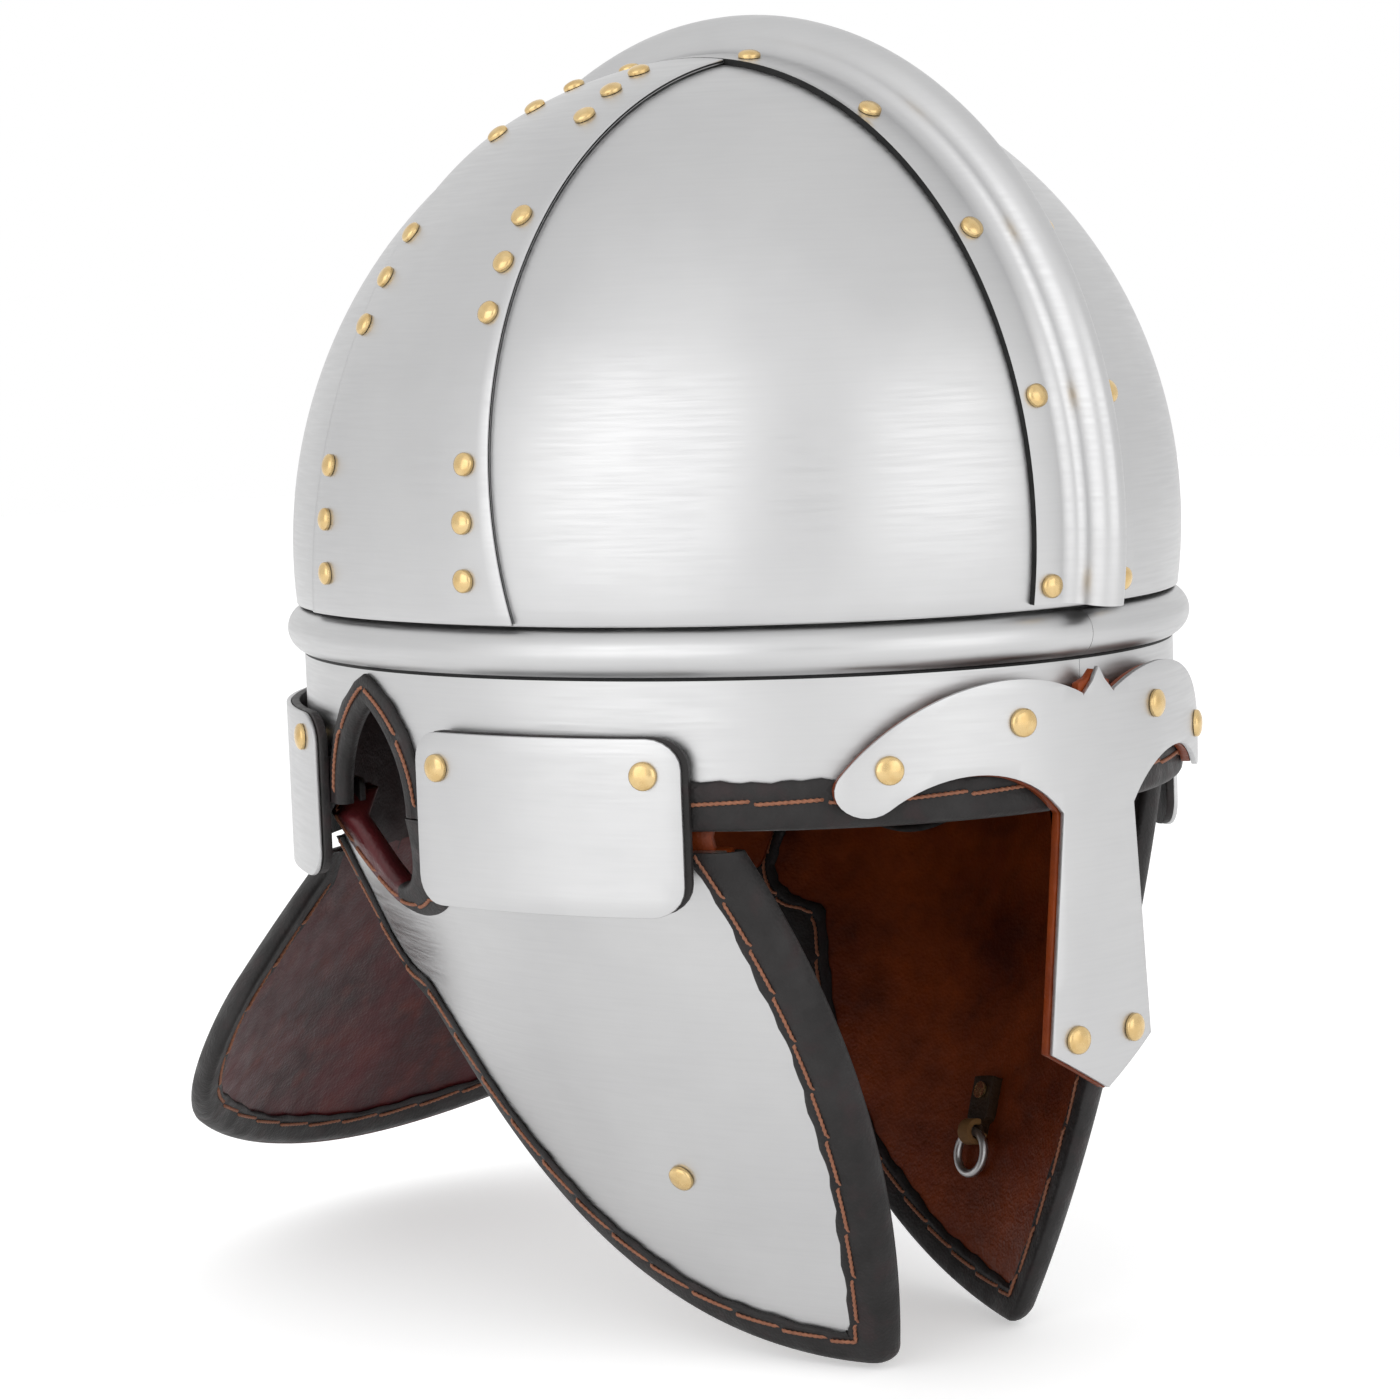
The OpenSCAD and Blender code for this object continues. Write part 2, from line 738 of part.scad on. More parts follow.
module brow_sheet(inner, outer, grow) {
    difference() {
        oval()
            intersection() {
                front_wall(inner, outer, -reach, reach);
                through_front() brow_outline(grow);
            }
        for (flip = [false, true])
            mirrored(flip) {
                at_spots(brow_spots) hole();
                at_spots(nasal_spots) hole();
            }
    }
}

module brow_plate() { color(steel) brow_sheet(face_in, face_out, 0); }
module brow_backing() { color(brown_leather) brow_sheet(backing_in, backing_out, backing_show); }

// Hinge plates, their backing and the hinge leather inside the rim
module cheek_hinge_sheet(flip, inner, outer, grow) {
    mirrored(flip)
        difference() {
            oval()
                intersection() {
                    side_wall(inner, outer, -reach, reach);
                    through_side()
                        rounded_rect(
                            cheek_plate_front / rim_k - grow, cheek_plate_rear / rim_k,
                            hinge_plate_low, hinge_plate_top + grow, hinge_plate_corner
                        );
                }
            at_spots(cheek_spots) hole();
        }
}

module cheek_hinge_plate(flip) { color(steel) cheek_hinge_sheet(flip, face_in, face_out, 0); }

module cheek_plate_backing(flip) {
    color(black_leather) cheek_hinge_sheet(flip, backing_in, backing_out, backing_show);
}

module cheek_hinge_leather(flip) {
    color(brown_leather)
        mirrored(flip)
            difference() {
                oval()
                    intersection() {
                        side_wall(leather_in, leather_out, -cheek_leather_drop, hinge_leather_top);
                        translate([0, cheek_plate_front / rim_k, -reach])
                            cube([reach, (cheek_plate_rear - cheek_plate_front) / rim_k, 2 * reach]);
                    }
                at_spots(cheek_spots) hole();
            }
}

module neck_hinge_sheet(flip, inner, outer, grow) {
    half = (rim_half_width + face_out) * sin((neck_plate_last - neck_plate_first) / 2);
    mirrored(flip)
        difference() {
            oval()
                rotate([0, 0, (neck_plate_first + neck_plate_last) / 2])
                    intersection() {
                        side_wall(inner, outer, -reach, reach);
                        through_side()
                            rounded_rect(
                                -half - grow, half, hinge_plate_low, hinge_plate_top + grow, hinge_plate_corner
                            );
                    }
            at_spots(neck_end_spots) hole();
            at_spots(neck_leather_spots) hole();
        }
}

module neck_hinge_plate(flip) { color(steel) neck_hinge_sheet(flip, face_in, face_out, 0); }

module neck_plate_backing(flip) {
    color(black_leather) neck_hinge_sheet(flip, backing_in, backing_out, backing_show);
}

module neck_hinge_leather() {
    color(oxblood_leather)
        difference() {
            oval()
                intersection() {
                    rear_wall(leather_in, leather_out, neck_leather_low, hinge_leather_top);
                    translate([-neck_leather_half, 0, -reach]) cube([2 * neck_leather_half, reach, 2 * reach]);
                }
            for (flip = [false, true])
                mirrored(flip) at_spots(neck_leather_spots) hole();
        }
}

// Liner
module liner_band() {
    color(liner_leather)
        difference() {
            for (quarter = [0 : 3])
                oval()
                    wall_arc(liner_in, liner_out, liner_low, liner_top, 45 + 90 * quarter + butt, 90 - 2 * butt);
            for (flip = [false, true])
                mirrored(flip) {
                    for (row = [-1, 1])
                        at_strap(row, true) hole();
                    for (rear = [false, true])
                        at_crest(rear, true) hole();
                }
        }
}

module liner_cap() {
    outer = dome_r - plate_wall - liner_stand;
    low = (liner_top + layer_gap - dome_widest_z) / dome_k;
    color(liner_leather)
        for (quarter = [0 : 3])
            dome_form()
                dome_shell(
                    outer - liner_wall, outer, low, crown_hole,
                    45 + 90 * quarter + butt, 90 - 2 * butt
                );
}

// Rivets
module strap_rivets(flip) {
    grip = (strap_out - dome_r + plate_wall) * dome_k + hole_gap;
    base_grip = strap_out - rim_half_width - liner_in + tail_gap;
    color(brass)
        mirrored(flip)
            for (row = [-1, 1]) {
                at_strap(row, false) rivet(dome_head, grip);
                at_strap(row, true) rivet(dome_head, base_grip);
            }
}

module crest_rivets() {
    grip = (crest_out - dome_r + plate_wall) * rim_k + hole_gap;
    base_grip = (crest_out - rim_half_width - liner_in) * rim_k + tail_gap;
    color(brass)
        for (flip = [false, true], rear = [false, true])
            mirrored(flip) {
                at_crest(rear, false) rivet(dome_head, grip);
                at_crest(rear, true) rivet(dome_head, base_grip);
            }
}

module brow_rivets() {
    color(brass) {
        rim_rivets(brow_spots, -band_wall);
        rim_rivets(nasal_spots, backing_in);
    }
}

module cheek_hinge_rivets() { color(brass) rim_rivets(cheek_spots, leather_in); }

module neck_hinge_rivets() {
    color(brass) {
        rim_rivets(neck_end_spots, -band_wall);
        rim_rivets(neck_leather_spots, leather_in);
    }
}

// Cheek guards
module cheek_frame() {
    translate([-cheek_axis_x, -cheek_axis_front, 0])
        rotate([-cheek_sweep, cheek_tilt, 0])
            children();
}

module cheek_sheet(inner, outer) {
    cheek_frame()
        difference() {
            cylinder(r = outer, h = 2 * reach, center = true, $fn = 240);
            cylinder(r = inner, h = 2 * reach + over, center = true, $fn = 240);
        }
}

// Room over the rear of a guard, where it rises as the guard swings in
module ear_room() {
    translate([ear_y, loop_top - loop_r * tan(ear_slant)]) rotate(-ear_slant) square(reach);
}

module cheek_outline(inset) {
    difference() {
        union() {
            intersection() {
                translate([cheek_front_y + cheek_front_r, cheek_front_z]) circle(cheek_front_r - inset, $fn = 240);
                translate([cheek_low_y, cheek_low_z + cheek_low_r]) circle(cheek_low_r - inset);
                translate([-reach, -reach]) square([2 * reach, reach - guard_drop]);
            }
            translate([cheek_rear_y - cheek_rear_r, cheek_rear_z]) circle(cheek_rear_r - inset);
            translate([ear_y, cheek_rear_z])
                square([cheek_rear_y - inset - ear_y, -guard_drop - cheek_rear_z]);
        }
        translate([ear_y, loop_z]) circle(loop_r + layer_gap);
        ear_room();
    }
}

module cheek_cut(inner, outer) {
    intersection() {
        cheek_sheet(inner, outer);
        through_side() children();
    }
}

module at_chin() {
    cheek_frame()
        rotate([0, 0, chin_angle])
            translate([cheek_lining_in, 0, chin_height])
                children();
}

module chin_hole() { at_chin() rotate([0, 90, 0]) hole(); }

module cheek_plate(flip) {
    color(steel)
        mirrored(flip)
            difference() {
                cheek_cut(cheek_plate_in, cheek_face) cheek_outline(fold);
                chin_hole();
            }
}

module cheek_lining(flip) {
    tongue = guard_drop + lining_wall;
    color(brown_leather)
        mirrored(flip)
            difference() {
                union() {
                    cheek_cut(cheek_lining_in, cheek_lining_out) cheek_outline(fold);
                    translate([cheek_fold_x, cheek_hinge_y, cheek_fold_z])
                        rotate([0, 0, cheek_fold_turn]) {
                            rotate([90, 0, 0]) cylinder(r = knuckle_r, h = knuckle_length, center = true);
                            rotate([0, cheek_tilt, 0])
                                translate([layer_gap - knuckle_r, -knuckle_length / 2, -tongue])
                                    cube([cheek_tongue_wall, knuckle_length, tongue]);
                        }
                }
                chin_hole();
            }
}

module cheek_binding(flip) {
    color(black_leather)
        mirrored(flip)
            difference() {
                cheek_cut(cheek_inside, cheek_radius + layer_gap)
                    difference() {
                        cheek_outline(0);
                        cheek_outline(binding_width);
                    }
                cheek_cut(cheek_lining_in - layer_gap, cheek_face + layer_gap) cheek_outline(binding_wall);
            }
}

module ear_loop(flip) {
    color(oxblood_leather)
        mirrored(flip)
            cheek_cut(cheek_inside, cheek_radius)
                difference() {
                    translate([ear_y, loop_z])
                        difference() {
                            circle(loop_r);
                            circle(ear_half_width);
                        }
                    translate([ear_y - reach, loop_top]) square(2 * reach);
                    ear_room();
                }
}

module chin_tab(flip) {
    color(brown_leather)
        mirrored(flip)
            at_chin()
                difference() {
                    union() {
                        translate([-2 * tab_wall - layer_gap, -tab_width / 2, -tab_drop + eye_r])
                            cube([2 * tab_wall, tab_width, tab_drop - eye_r + tab_width / 2]);
                        translate([-2 * tab_wall - layer_gap, -tab_eye_width / 2, -tab_drop])
                            cube([2 * tab_wall, tab_eye_width, tab_drop]);
                        translate([-eye_in, 0, -tab_drop])
                            rotate([90, 0, 0]) cylinder(r = eye_r, h = tab_eye_width, center = true);
                    }
                    translate([-eye_in, 0, -tab_drop])
                        rotate([90, 0, 0]) cylinder(r = tab_bore, h = tab_width, center = true);
                    rotate([0, 90, 0]) hole();
                }
}

module chin_rivet(flip) {
    grip = cheek_face - cheek_lining_in + 2 * tab_wall + 2 * layer_gap;
    color(brass)
        mirrored(flip)
            at_chin()
                translate([cheek_face - cheek_lining_in + rivet_gap, 0, 0])
                    rotate([0, 90, 0]) rivet(plate_head, grip + rivet_gap);
}

module chin_ring(flip) {
    color(steel)
        mirrored(flip)
            at_chin()
                translate([-eye_in, 0, -tab_drop])
                    rotate([0, -ring_lean, 0])
                        translate([0, 0, -ring_radius])
                            rotate([0, 90, 0])
                                rotate_extrude() translate([ring_radius, 0]) circle(ring_wire);
}

// Neck guard
module neck_cone(off) {
    low = 2 * neck_low_z;
    slope = tan(neck_flare);
    away = off / cos(neck_flare);
    translate([0, neck_axis_y, low])
        cylinder(
            h = -low,
            r1 = neck_radius + slope * (neck_fold_z - low) + away,
            r2 = neck_radius + slope * neck_fold_z + away,
            $fn = 240
        );
}

module neck_outline(inset) {
    corner_r = neck_corner_r - inset;
    corner = [neck_corner_x, neck_corner_z];
    away = (corner - [0, neck_arc_z]) / norm(corner - [0, neck_arc_z]);
    far = corner + reach * away;
    shoulder = [neck_top_half - inset, neck_shoulder_z - inset / 2];
    side = corner + corner_r * [cos(neck_shoulder_turn), sin(neck_shoulder_turn)];
    polygon([
        [-shoulder.x, neck_top_z], [-shoulder.x, shoulder.y], [-side.x, side.y], [-corner.x, corner.y],
        corner, side, shoulder, [shoulder.x, neck_top_z]
    ]);
    for (x = [-corner.x, corner.x])
        translate([x, corner.y]) circle(corner_r + corner_lap);
    intersection() {
        translate([0, neck_arc_z]) circle(neck_low_r - inset, $fn = 240);
        polygon([[-far.x, far.y], [-corner.x, corner.y + over], [corner.x, corner.y + over], far]);
    }
}

module neck_cut(inner, outer) {
    intersection() {
        difference() {
            neck_cone(outer);
            neck_cone(inner);
        }
        through_back() children();
    }
}

module neck_plate() { color(steel) neck_cut(neck_plate_off, neck_face) neck_outline(fold); }

module neck_lining() {
    tongue = 2 * lining_wall;
    color(oxblood_leather) {
        neck_cut(0, lining_wall) neck_outline(fold);
        translate([0, neck_fold_y, neck_fold_z]) {
            rotate([0, 90, 0]) cylinder(r = knuckle_r, h = knuckle_length, center = true);
            rotate([neck_flare, 0, 0])
                translate([-knuckle_length / 2, layer_gap - knuckle_r, -tongue])
                    cube([knuckle_length, neck_tongue_wall, tongue]);
        }
    }
}

module neck_binding() {
    color(black_leather)
        difference() {
            neck_cut(-layer_gap - binding_wall, neck_face + layer_gap + binding_wall)
                difference() {
                    neck_outline(0);
                    neck_outline(binding_width);
                }
            neck_cut(-layer_gap, neck_face + layer_gap) neck_outline(binding_wall);
        }
}

dome_plate(false, false);  // dome_plate_front_left
dome_plate(true, false);  // dome_plate_front_right
dome_plate(false, true);  // dome_plate_rear_left
dome_plate(true, true);  // dome_plate_rear_right
side_strap(false);  // side_strap_left
side_strap(true);  // side_strap_right
crest_ridge();
rim_band(false);  // rim_band_left
rim_band(true);  // rim_band_right
rim_edging(false);  // rim_edging_front
rim_edging(true);  // rim_edging_rear
ear_trim(false);  // ear_trim_left
ear_trim(true);  // ear_trim_right
brow_plate();
brow_backing();
cheek_hinge_plate(false);  // cheek_hinge_plate_left
cheek_hinge_plate(true);  // cheek_hinge_plate_right
cheek_plate_backing(false);  // cheek_plate_backing_left
cheek_plate_backing(true);  // cheek_plate_backing_right
cheek_hinge_leather(false);  // cheek_hinge_leather_left
cheek_hinge_leather(true);  // cheek_hinge_leather_right
neck_hinge_plate(false);  // neck_hinge_plate_left
neck_hinge_plate(true);  // neck_hinge_plate_right
neck_plate_backing(false);  // neck_plate_backing_left
neck_plate_backing(true);  // neck_plate_backing_right
neck_hinge_leather();
liner_band();
liner_cap();
strap_rivets(false);  // strap_rivets_left
strap_rivets(true);  // strap_rivets_right
crest_rivets();
brow_rivets();
cheek_hinge_rivets();
neck_hinge_rivets();
cheek_plate(false);  // cheek_plate_left
cheek_lining(false);  // cheek_lining_left
cheek_binding(false);  // cheek_binding_left
ear_loop(false);  // ear_loop_left
chin_tab(false);  // chin_tab_left
chin_rivet(false);  // chin_rivet_left
chin_ring(false);  // chin_ring_left
cheek_plate(true);  // cheek_plate_right
cheek_lining(true);  // cheek_lining_right
cheek_binding(true);  // cheek_binding_right
ear_loop(true);  // ear_loop_right
chin_tab(true);  // chin_tab_right
chin_rivet(true);  // chin_rivet_right
chin_ring(true);  // chin_ring_right
neck_plate();
neck_lining();
neck_binding();
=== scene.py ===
from functools import lru_cache
from math import acos, asin, atan2, cos, degrees, pi, radians, sin, sqrt, tan

import bpy
from mathutils import Matrix, Vector


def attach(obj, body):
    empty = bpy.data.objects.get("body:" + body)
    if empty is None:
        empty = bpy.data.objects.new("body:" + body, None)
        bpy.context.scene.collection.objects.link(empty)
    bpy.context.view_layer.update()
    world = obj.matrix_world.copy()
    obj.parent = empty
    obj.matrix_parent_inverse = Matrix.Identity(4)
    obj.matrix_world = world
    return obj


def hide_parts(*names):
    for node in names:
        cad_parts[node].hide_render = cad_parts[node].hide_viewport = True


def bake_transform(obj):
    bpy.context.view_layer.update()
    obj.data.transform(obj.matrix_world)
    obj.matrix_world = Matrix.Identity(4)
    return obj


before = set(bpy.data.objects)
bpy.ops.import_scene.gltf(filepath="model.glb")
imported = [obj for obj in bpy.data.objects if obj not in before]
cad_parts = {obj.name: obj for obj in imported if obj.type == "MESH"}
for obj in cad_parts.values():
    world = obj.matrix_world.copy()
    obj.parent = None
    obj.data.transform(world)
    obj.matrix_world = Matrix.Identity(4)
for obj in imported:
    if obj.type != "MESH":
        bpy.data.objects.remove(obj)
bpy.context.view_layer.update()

# Rim band: two halves of 1.5 mm mild steel strip, rolled with a bead along the top and a collar that stands
# inside the dome. They butt at brow and nape, and an arch is cut out of each for the ear.
MM = 0.001
SIDES = (("left", 1), ("right", -1))  # the wearer's left is +x
RIM_R, RIM_WALL, RIM_STEPS = 101, 1.5, 120
RIM_K = 118 / RIM_R  # half the rim's length over half its width
CUT_BACK = 1.6  # the steel ends this far inside its leather edge
WALL_TOP, CREASE = 34, 0.8  # painted shade: a black ring in the crease between wall and bead
BEAD_AT, BEAD_R = (98.6, 40.2), 6.2
COLLAR_R, COLLAR_FOOT, COLLAR_TOP = 100.3, 54, 62.4
BUTT_GAP = 0.03  # degrees left open at each end of a half
EAR_Y, EAR_ARC, EAR_OFF = 20 / RIM_K, 30.76, 17.92
CUTTER_X, CUTTER_DEEP, CUTTER_LOW = 120, 60, -8


def on_rim(turn, r, z):
    """A place round the oval of the rim: turn is 0 at the brow and 90 degrees at the wearer's left ear."""
    return (r * sin(turn), -RIM_K * r * cos(turn), z)


def rim_x(y, r):
    """Half the width of the rim's oval, at a depth from brow to nape."""
    return sqrt(r * r - (y / RIM_K) ** 2)


def arc(centre, r, first, last, count):
    """Points of an arc, from one angle to another in degrees."""
    turns = [radians(first + (last - first) * i / count) for i in range(count + 1)]
    return [(centre[0] + r * cos(a), centre[1] + r * sin(a)) for a in turns]


def formed_sheet(name, across, along, place):
    """A flat grid whose corners are then pushed to their places on the real form, in millimetres."""
    bpy.ops.object.select_all(action="DESELECT")
    bpy.ops.mesh.primitive_grid_add(x_subdivisions=across, y_subdivisions=along, size=1)
    piece = bpy.context.object
    piece.name = piece.data.name = name
    for corner in piece.data.vertices:
        corner.co = Vector(place(corner.co.x + 0.5, corner.co.y + 0.5)) * MM
    return piece


def swept(name, outer, inner, stations, spot, ragged=0):
    """A folded strip: its outer and inner outline, carried along the stations and pinched shut at both ends.
    A ragged strip's cut edges, its farthest from the fold, wander by that much."""
    section = outer + inner[::-1]
    cut = max(a for a, _ in section) - 0.6

    def place(u, v):
        i, j = round(u * len(section)) % len(section), round(v * (stations + 2)) - 1
        a, b = section[i]
        if ragged and a > cut:
            a += ragged * (sin(1.9 * j) + sin(0.57 * j + 2) - 1)
        if j < 0 or j > stations:
            c, d = section[len(section) - 1 - i]
            a, b = (a + c) / 2, (b + d) / 2
        return spot(a, b, min(max(j, 0), stations))

    return formed_sheet(name, len(section), stations + 2, place)


def cut_blank(name, outline, cell, place):
    """A blank cut to its outline, scored into small cells so that it can bend, and laid on the real form."""
    bpy.ops.object.select_all(action="DESELECT")
    bpy.ops.mesh.primitive_circle_add(vertices=len(outline), radius=1, fill_type="NGON")
    piece = bpy.context.object
    piece.name = piece.data.name = name
    for corner, (a, b) in zip(piece.data.vertices, outline):
        corner.co = (a, b, 0)
    bpy.ops.object.mode_set(mode="EDIT")
    for axis in (0, 1):
        low, high = min(p[axis] for p in outline), max(p[axis] for p in outline)
        count = int((high - low) / cell) + 1
        for i in range(1, count):
            score = [0, 0, 0]
            score[axis] = low + (high - low) * i / count
            bpy.ops.mesh.select_all(action="SELECT")
            bpy.ops.mesh.bisect(plane_co=score, plane_no=(axis == 0, axis == 1, 0))
    bpy.ops.object.mode_set(mode="OBJECT")
    for corner in piece.data.vertices:
        corner.co = Vector(place(corner.co.x, corner.co.y)) * MM
    return piece


def finish_piece(piece, finish, wall=0, soften=0, cut_edge=None, smooth=40):
    """Seams closed and faces turned outwards, then the sheet's thickness, its softened edges and its finish.
    A cut edge keeps a finish of its own between the softened corners, such as a black line of painted shade
    along a seam."""
    bpy.ops.object.select_all(action="DESELECT")
    bpy.context.view_layer.objects.active = piece
    piece.select_set(True)
    bpy.ops.object.mode_set(mode="EDIT")
    bpy.ops.mesh.select_all(action="SELECT")
    bpy.ops.mesh.remove_doubles(threshold=0.002 * MM)
    bpy.ops.mesh.normals_make_consistent(inside=False)
    bpy.ops.object.mode_set(mode="OBJECT")
    if sum(face.area * face.normal.dot(face.center) for face in piece.data.polygons) < 0:
        piece.data.flip_normals()
    piece.data.materials.append(finish)
    if cut_edge:
        piece.data.materials.append(cut_edge)
    if wall:
        bpy.ops.object.modifier_add(type="SOLIDIFY")
        sheet = piece.modifiers[-1]
        sheet.thickness, sheet.offset = wall * MM, -1
        sheet.material_offset_rim = 1 if cut_edge else 0
        bpy.ops.object.modifier_apply(modifier=sheet.name)
    if soften:
        bpy.ops.object.modifier_add(type="BEVEL")
        bevel = piece.modifiers[-1]
        bevel.width, bevel.segments = soften * MM, 2
        bevel.limit_method, bevel.angle_limit = "ANGLE", radians(50)
        bevel.material = 0 if cut_edge else -1
        bpy.ops.object.modifier_apply(modifier=bevel.name)
    bpy.ops.object.shade_smooth_by_angle(angle=radians(smooth))
    return piece


def fit(piece, body, slot, *nodes):
    """Ties a finished piece to the body it moves with, and hides the solids, if any, that it stands for."""
    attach(piece, body)
    if nodes:
        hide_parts(*nodes)


def linear(colour):
    """An sRGB hex colour as the linear values that a shader takes."""
    parts = [int(colour[i : i + 2], 16) / 255 for i in (1, 3, 5)]
    return (*[p / 12.92 if p <= 0.04045 else ((p + 0.055) / 1.055) ** 2.4 for p in parts], 1)


def feed(tree, node, inputs):
    """Sets or links a node's inputs. By number, a Mix node takes its share as 0 and two colours as 6 and 7,
    and a Map Range node turns its value 0 from the range 1, 2 to the range 3, 4."""
    for name, value in inputs.items():
        if isinstance(value, bpy.types.NodeSocket):
            tree.links.new(value, node.inputs[name])
        else:
            node.inputs[name].default_value = value


def put(tree, kind, inputs, **settings):
    """Adds one shader node with its settings and inputs."""
    added = tree.nodes.new("ShaderNode" + kind)
    for name, value in settings.items():
        setattr(added, name, value)
    feed(tree, added, inputs)
    return added


def new_finish(name):
    """A finish, its node tree, its main shader and the object coordinates for its patterns."""
    finish = bpy.data.materials.new(name)
    finish.use_nodes = True
    tree = finish.node_tree
    return finish, tree, tree.nodes["Principled BSDF"], put(tree, "TexCoord", {}).outputs["Object"]


# Mild steel, belt ground and buffed to a satin: neutral pale grey with broad soft reflections, faint clouds
# of polish 45 mm wide and level grinding lines drawn at 0.7 mm, coarser than real ones so that they show.
satin_steel, tree, shader, where = new_finish("satin_mild_steel")
cloud = put(tree, "TexNoise", {"Vector": where, "Scale": 1000 / 45, "Detail": 4, "Roughness": 0.55})
lines = put(tree, "Mapping", {"Vector": where, "Scale": (0.04, 0.04, 1)})
ground = put(tree, "TexNoise", {"Vector": lines.outputs[0], "Scale": 1000 / 0.7, "Detail": 2})
tone = put(tree, "Mix", {0: cloud.outputs[0], 6: linear("#c9c9c9"), 7: linear("#b8b8b9")}, data_type="RGBA")
rough = put(tree, "MapRange", {0: ground.outputs[0], 1: 0.3, 2: 0.7, 3: 0.34, 4: 0.46})
bump = put(tree, "Bump", {"Strength": 0.3, "Distance": 0.03 * MM, "Height": ground.outputs[0]})
wave = put(tree, "Bump", {"Strength": 0.06, "Distance": 1 * MM, "Height": cloud.outputs[0],
                          "Normal": bump.outputs[0]})
feed(tree, shader, {
    "Metallic": 1, "Base Color": tone.outputs[2], "Roughness": rough.outputs[0], "Normal": wave.outputs[0],
})

# Painted shade: the insides of the steel, its cut edges along the seams and the crease under the bead are
# painted nearly black and dull, in patches of 6 mm, for the shade that falls there.
painted_shade_black, tree, shader, where = new_finish("steel_painted_shade_black")
shade_mottle = put(tree, "TexNoise", {"Vector": where, "Scale": 1000 / 6, "Detail": 3})
tone = put(tree, "Mix", {0: shade_mottle.outputs[0], 6: linear("#0c0c0c"), 7: linear("#2c2c2c")}, data_type="RGBA")
feed(tree, shader, {"Base Color": tone.outputs[2], "Metallic": 0.6, "Roughness": 0.6})


def blacken(piece, picks):
    """Paints the faces that a test picks black, as painted shade."""
    if painted_shade_black.name not in piece.data.materials:
        piece.data.materials.append(painted_shade_black)
    for face in piece.data.polygons:
        if picks(face):
            face.material_index = len(piece.data.materials) - 1


@lru_cache(None)
def ear_arch(grow, count):
    """The pointed arch of an ear opening, two arcs from its rear foot over the point to its front foot."""
    r = EAR_ARC + grow
    rear = [acos(EAR_OFF / r) * i / count for i in range(count + 1)]
    right = [(EAR_Y - EAR_OFF + r * cos(a), r * sin(a)) for a in rear]
    return right + [(2 * EAR_Y - y, z) for y, z in right[-2::-1]]


rim_out = [(RIM_R, CUT_BACK + (WALL_TOP - CUT_BACK) * i / 5) for i in range(6)]
rim_out += arc(BEAD_AT, BEAD_R, -67.2, 74, 15) + [(COLLAR_R, COLLAR_FOOT), (COLLAR_R, COLLAR_TOP)]
rim_in = [(RIM_R - RIM_WALL, CUT_BACK + (WALL_TOP + 1 - CUT_BACK) * i / 5) for i in range(6)]
rim_in += arc(BEAD_AT, BEAD_R - RIM_WALL, -79, 88, 15)
rim_in += [(COLLAR_R - RIM_WALL, COLLAR_FOOT), (COLLAR_R - RIM_WALL, COLLAR_TOP)]
for side, sign in SIDES:
    def rim_spot(r, z, j):
        return on_rim(sign * radians(BUTT_GAP + (180 - 2 * BUTT_GAP) * j / RIM_STEPS), r, z)

    band = swept("rim_half_" + side, rim_out, rim_in, RIM_STEPS, rim_spot)
    arch = ear_arch(CUT_BACK, 14)
    below = [(arch[-1][0], CUTTER_LOW), (arch[0][0], CUTTER_LOW)]
    cutter = cut_blank("ear_cutter", arch + below, 200, lambda y, z: (sign * CUTTER_X, y * RIM_K, z))
    finish_piece(cutter, satin_steel, wall=CUTTER_DEEP)
    bpy.context.view_layer.objects.active = band
    bpy.ops.object.modifier_add(type="BOOLEAN")
    band.modifiers[-1].object, band.modifiers[-1].operation = cutter, "DIFFERENCE"
    bpy.ops.object.modifier_apply(modifier=band.modifiers[-1].name)
    bpy.data.objects.remove(cutter)
    finish_piece(band, satin_steel, smooth=35)
    # Painted shade: the inside faces of the band are painted black.
    blacken(band, lambda face: face.normal.xy.dot(face.center.xy) < 0)
    # Painted shade: a black ring of faces in the crease under the bead.
    blacken(band, lambda face: WALL_TOP * MM < face.center.z < (WALL_TOP + CREASE) * MM)
    fit(band, "shell", "satin_steel", "rim_band_" + side)

# Rim edging and ear trims: strips of 1.4 mm black calf folded over the raw edge of the rim band and of each
# ear arch, and sewn through with orange brown waxed thread in long back stitches.
TRIM_IN, TRIM_OUT, TRIM_WALL = -3.1, 1.6, 1.4  # inner and outer face, from the face of the rim
EDGING_W, EDGING_SEAM, EDGING_STEPS = 11.5, 6.6, 150
EAR_TRIM_W, EAR_SEAM, ARCH_STEPS = 7.5, 4.2, 16
THREAD_R, THREAD_LAY = 0.42, 2.8  # laid coarser than real thread so that the twist shows
STITCH, DIVE, DIVE_RUN, ASKEW = 17, 0.95, 1.2, 0.8


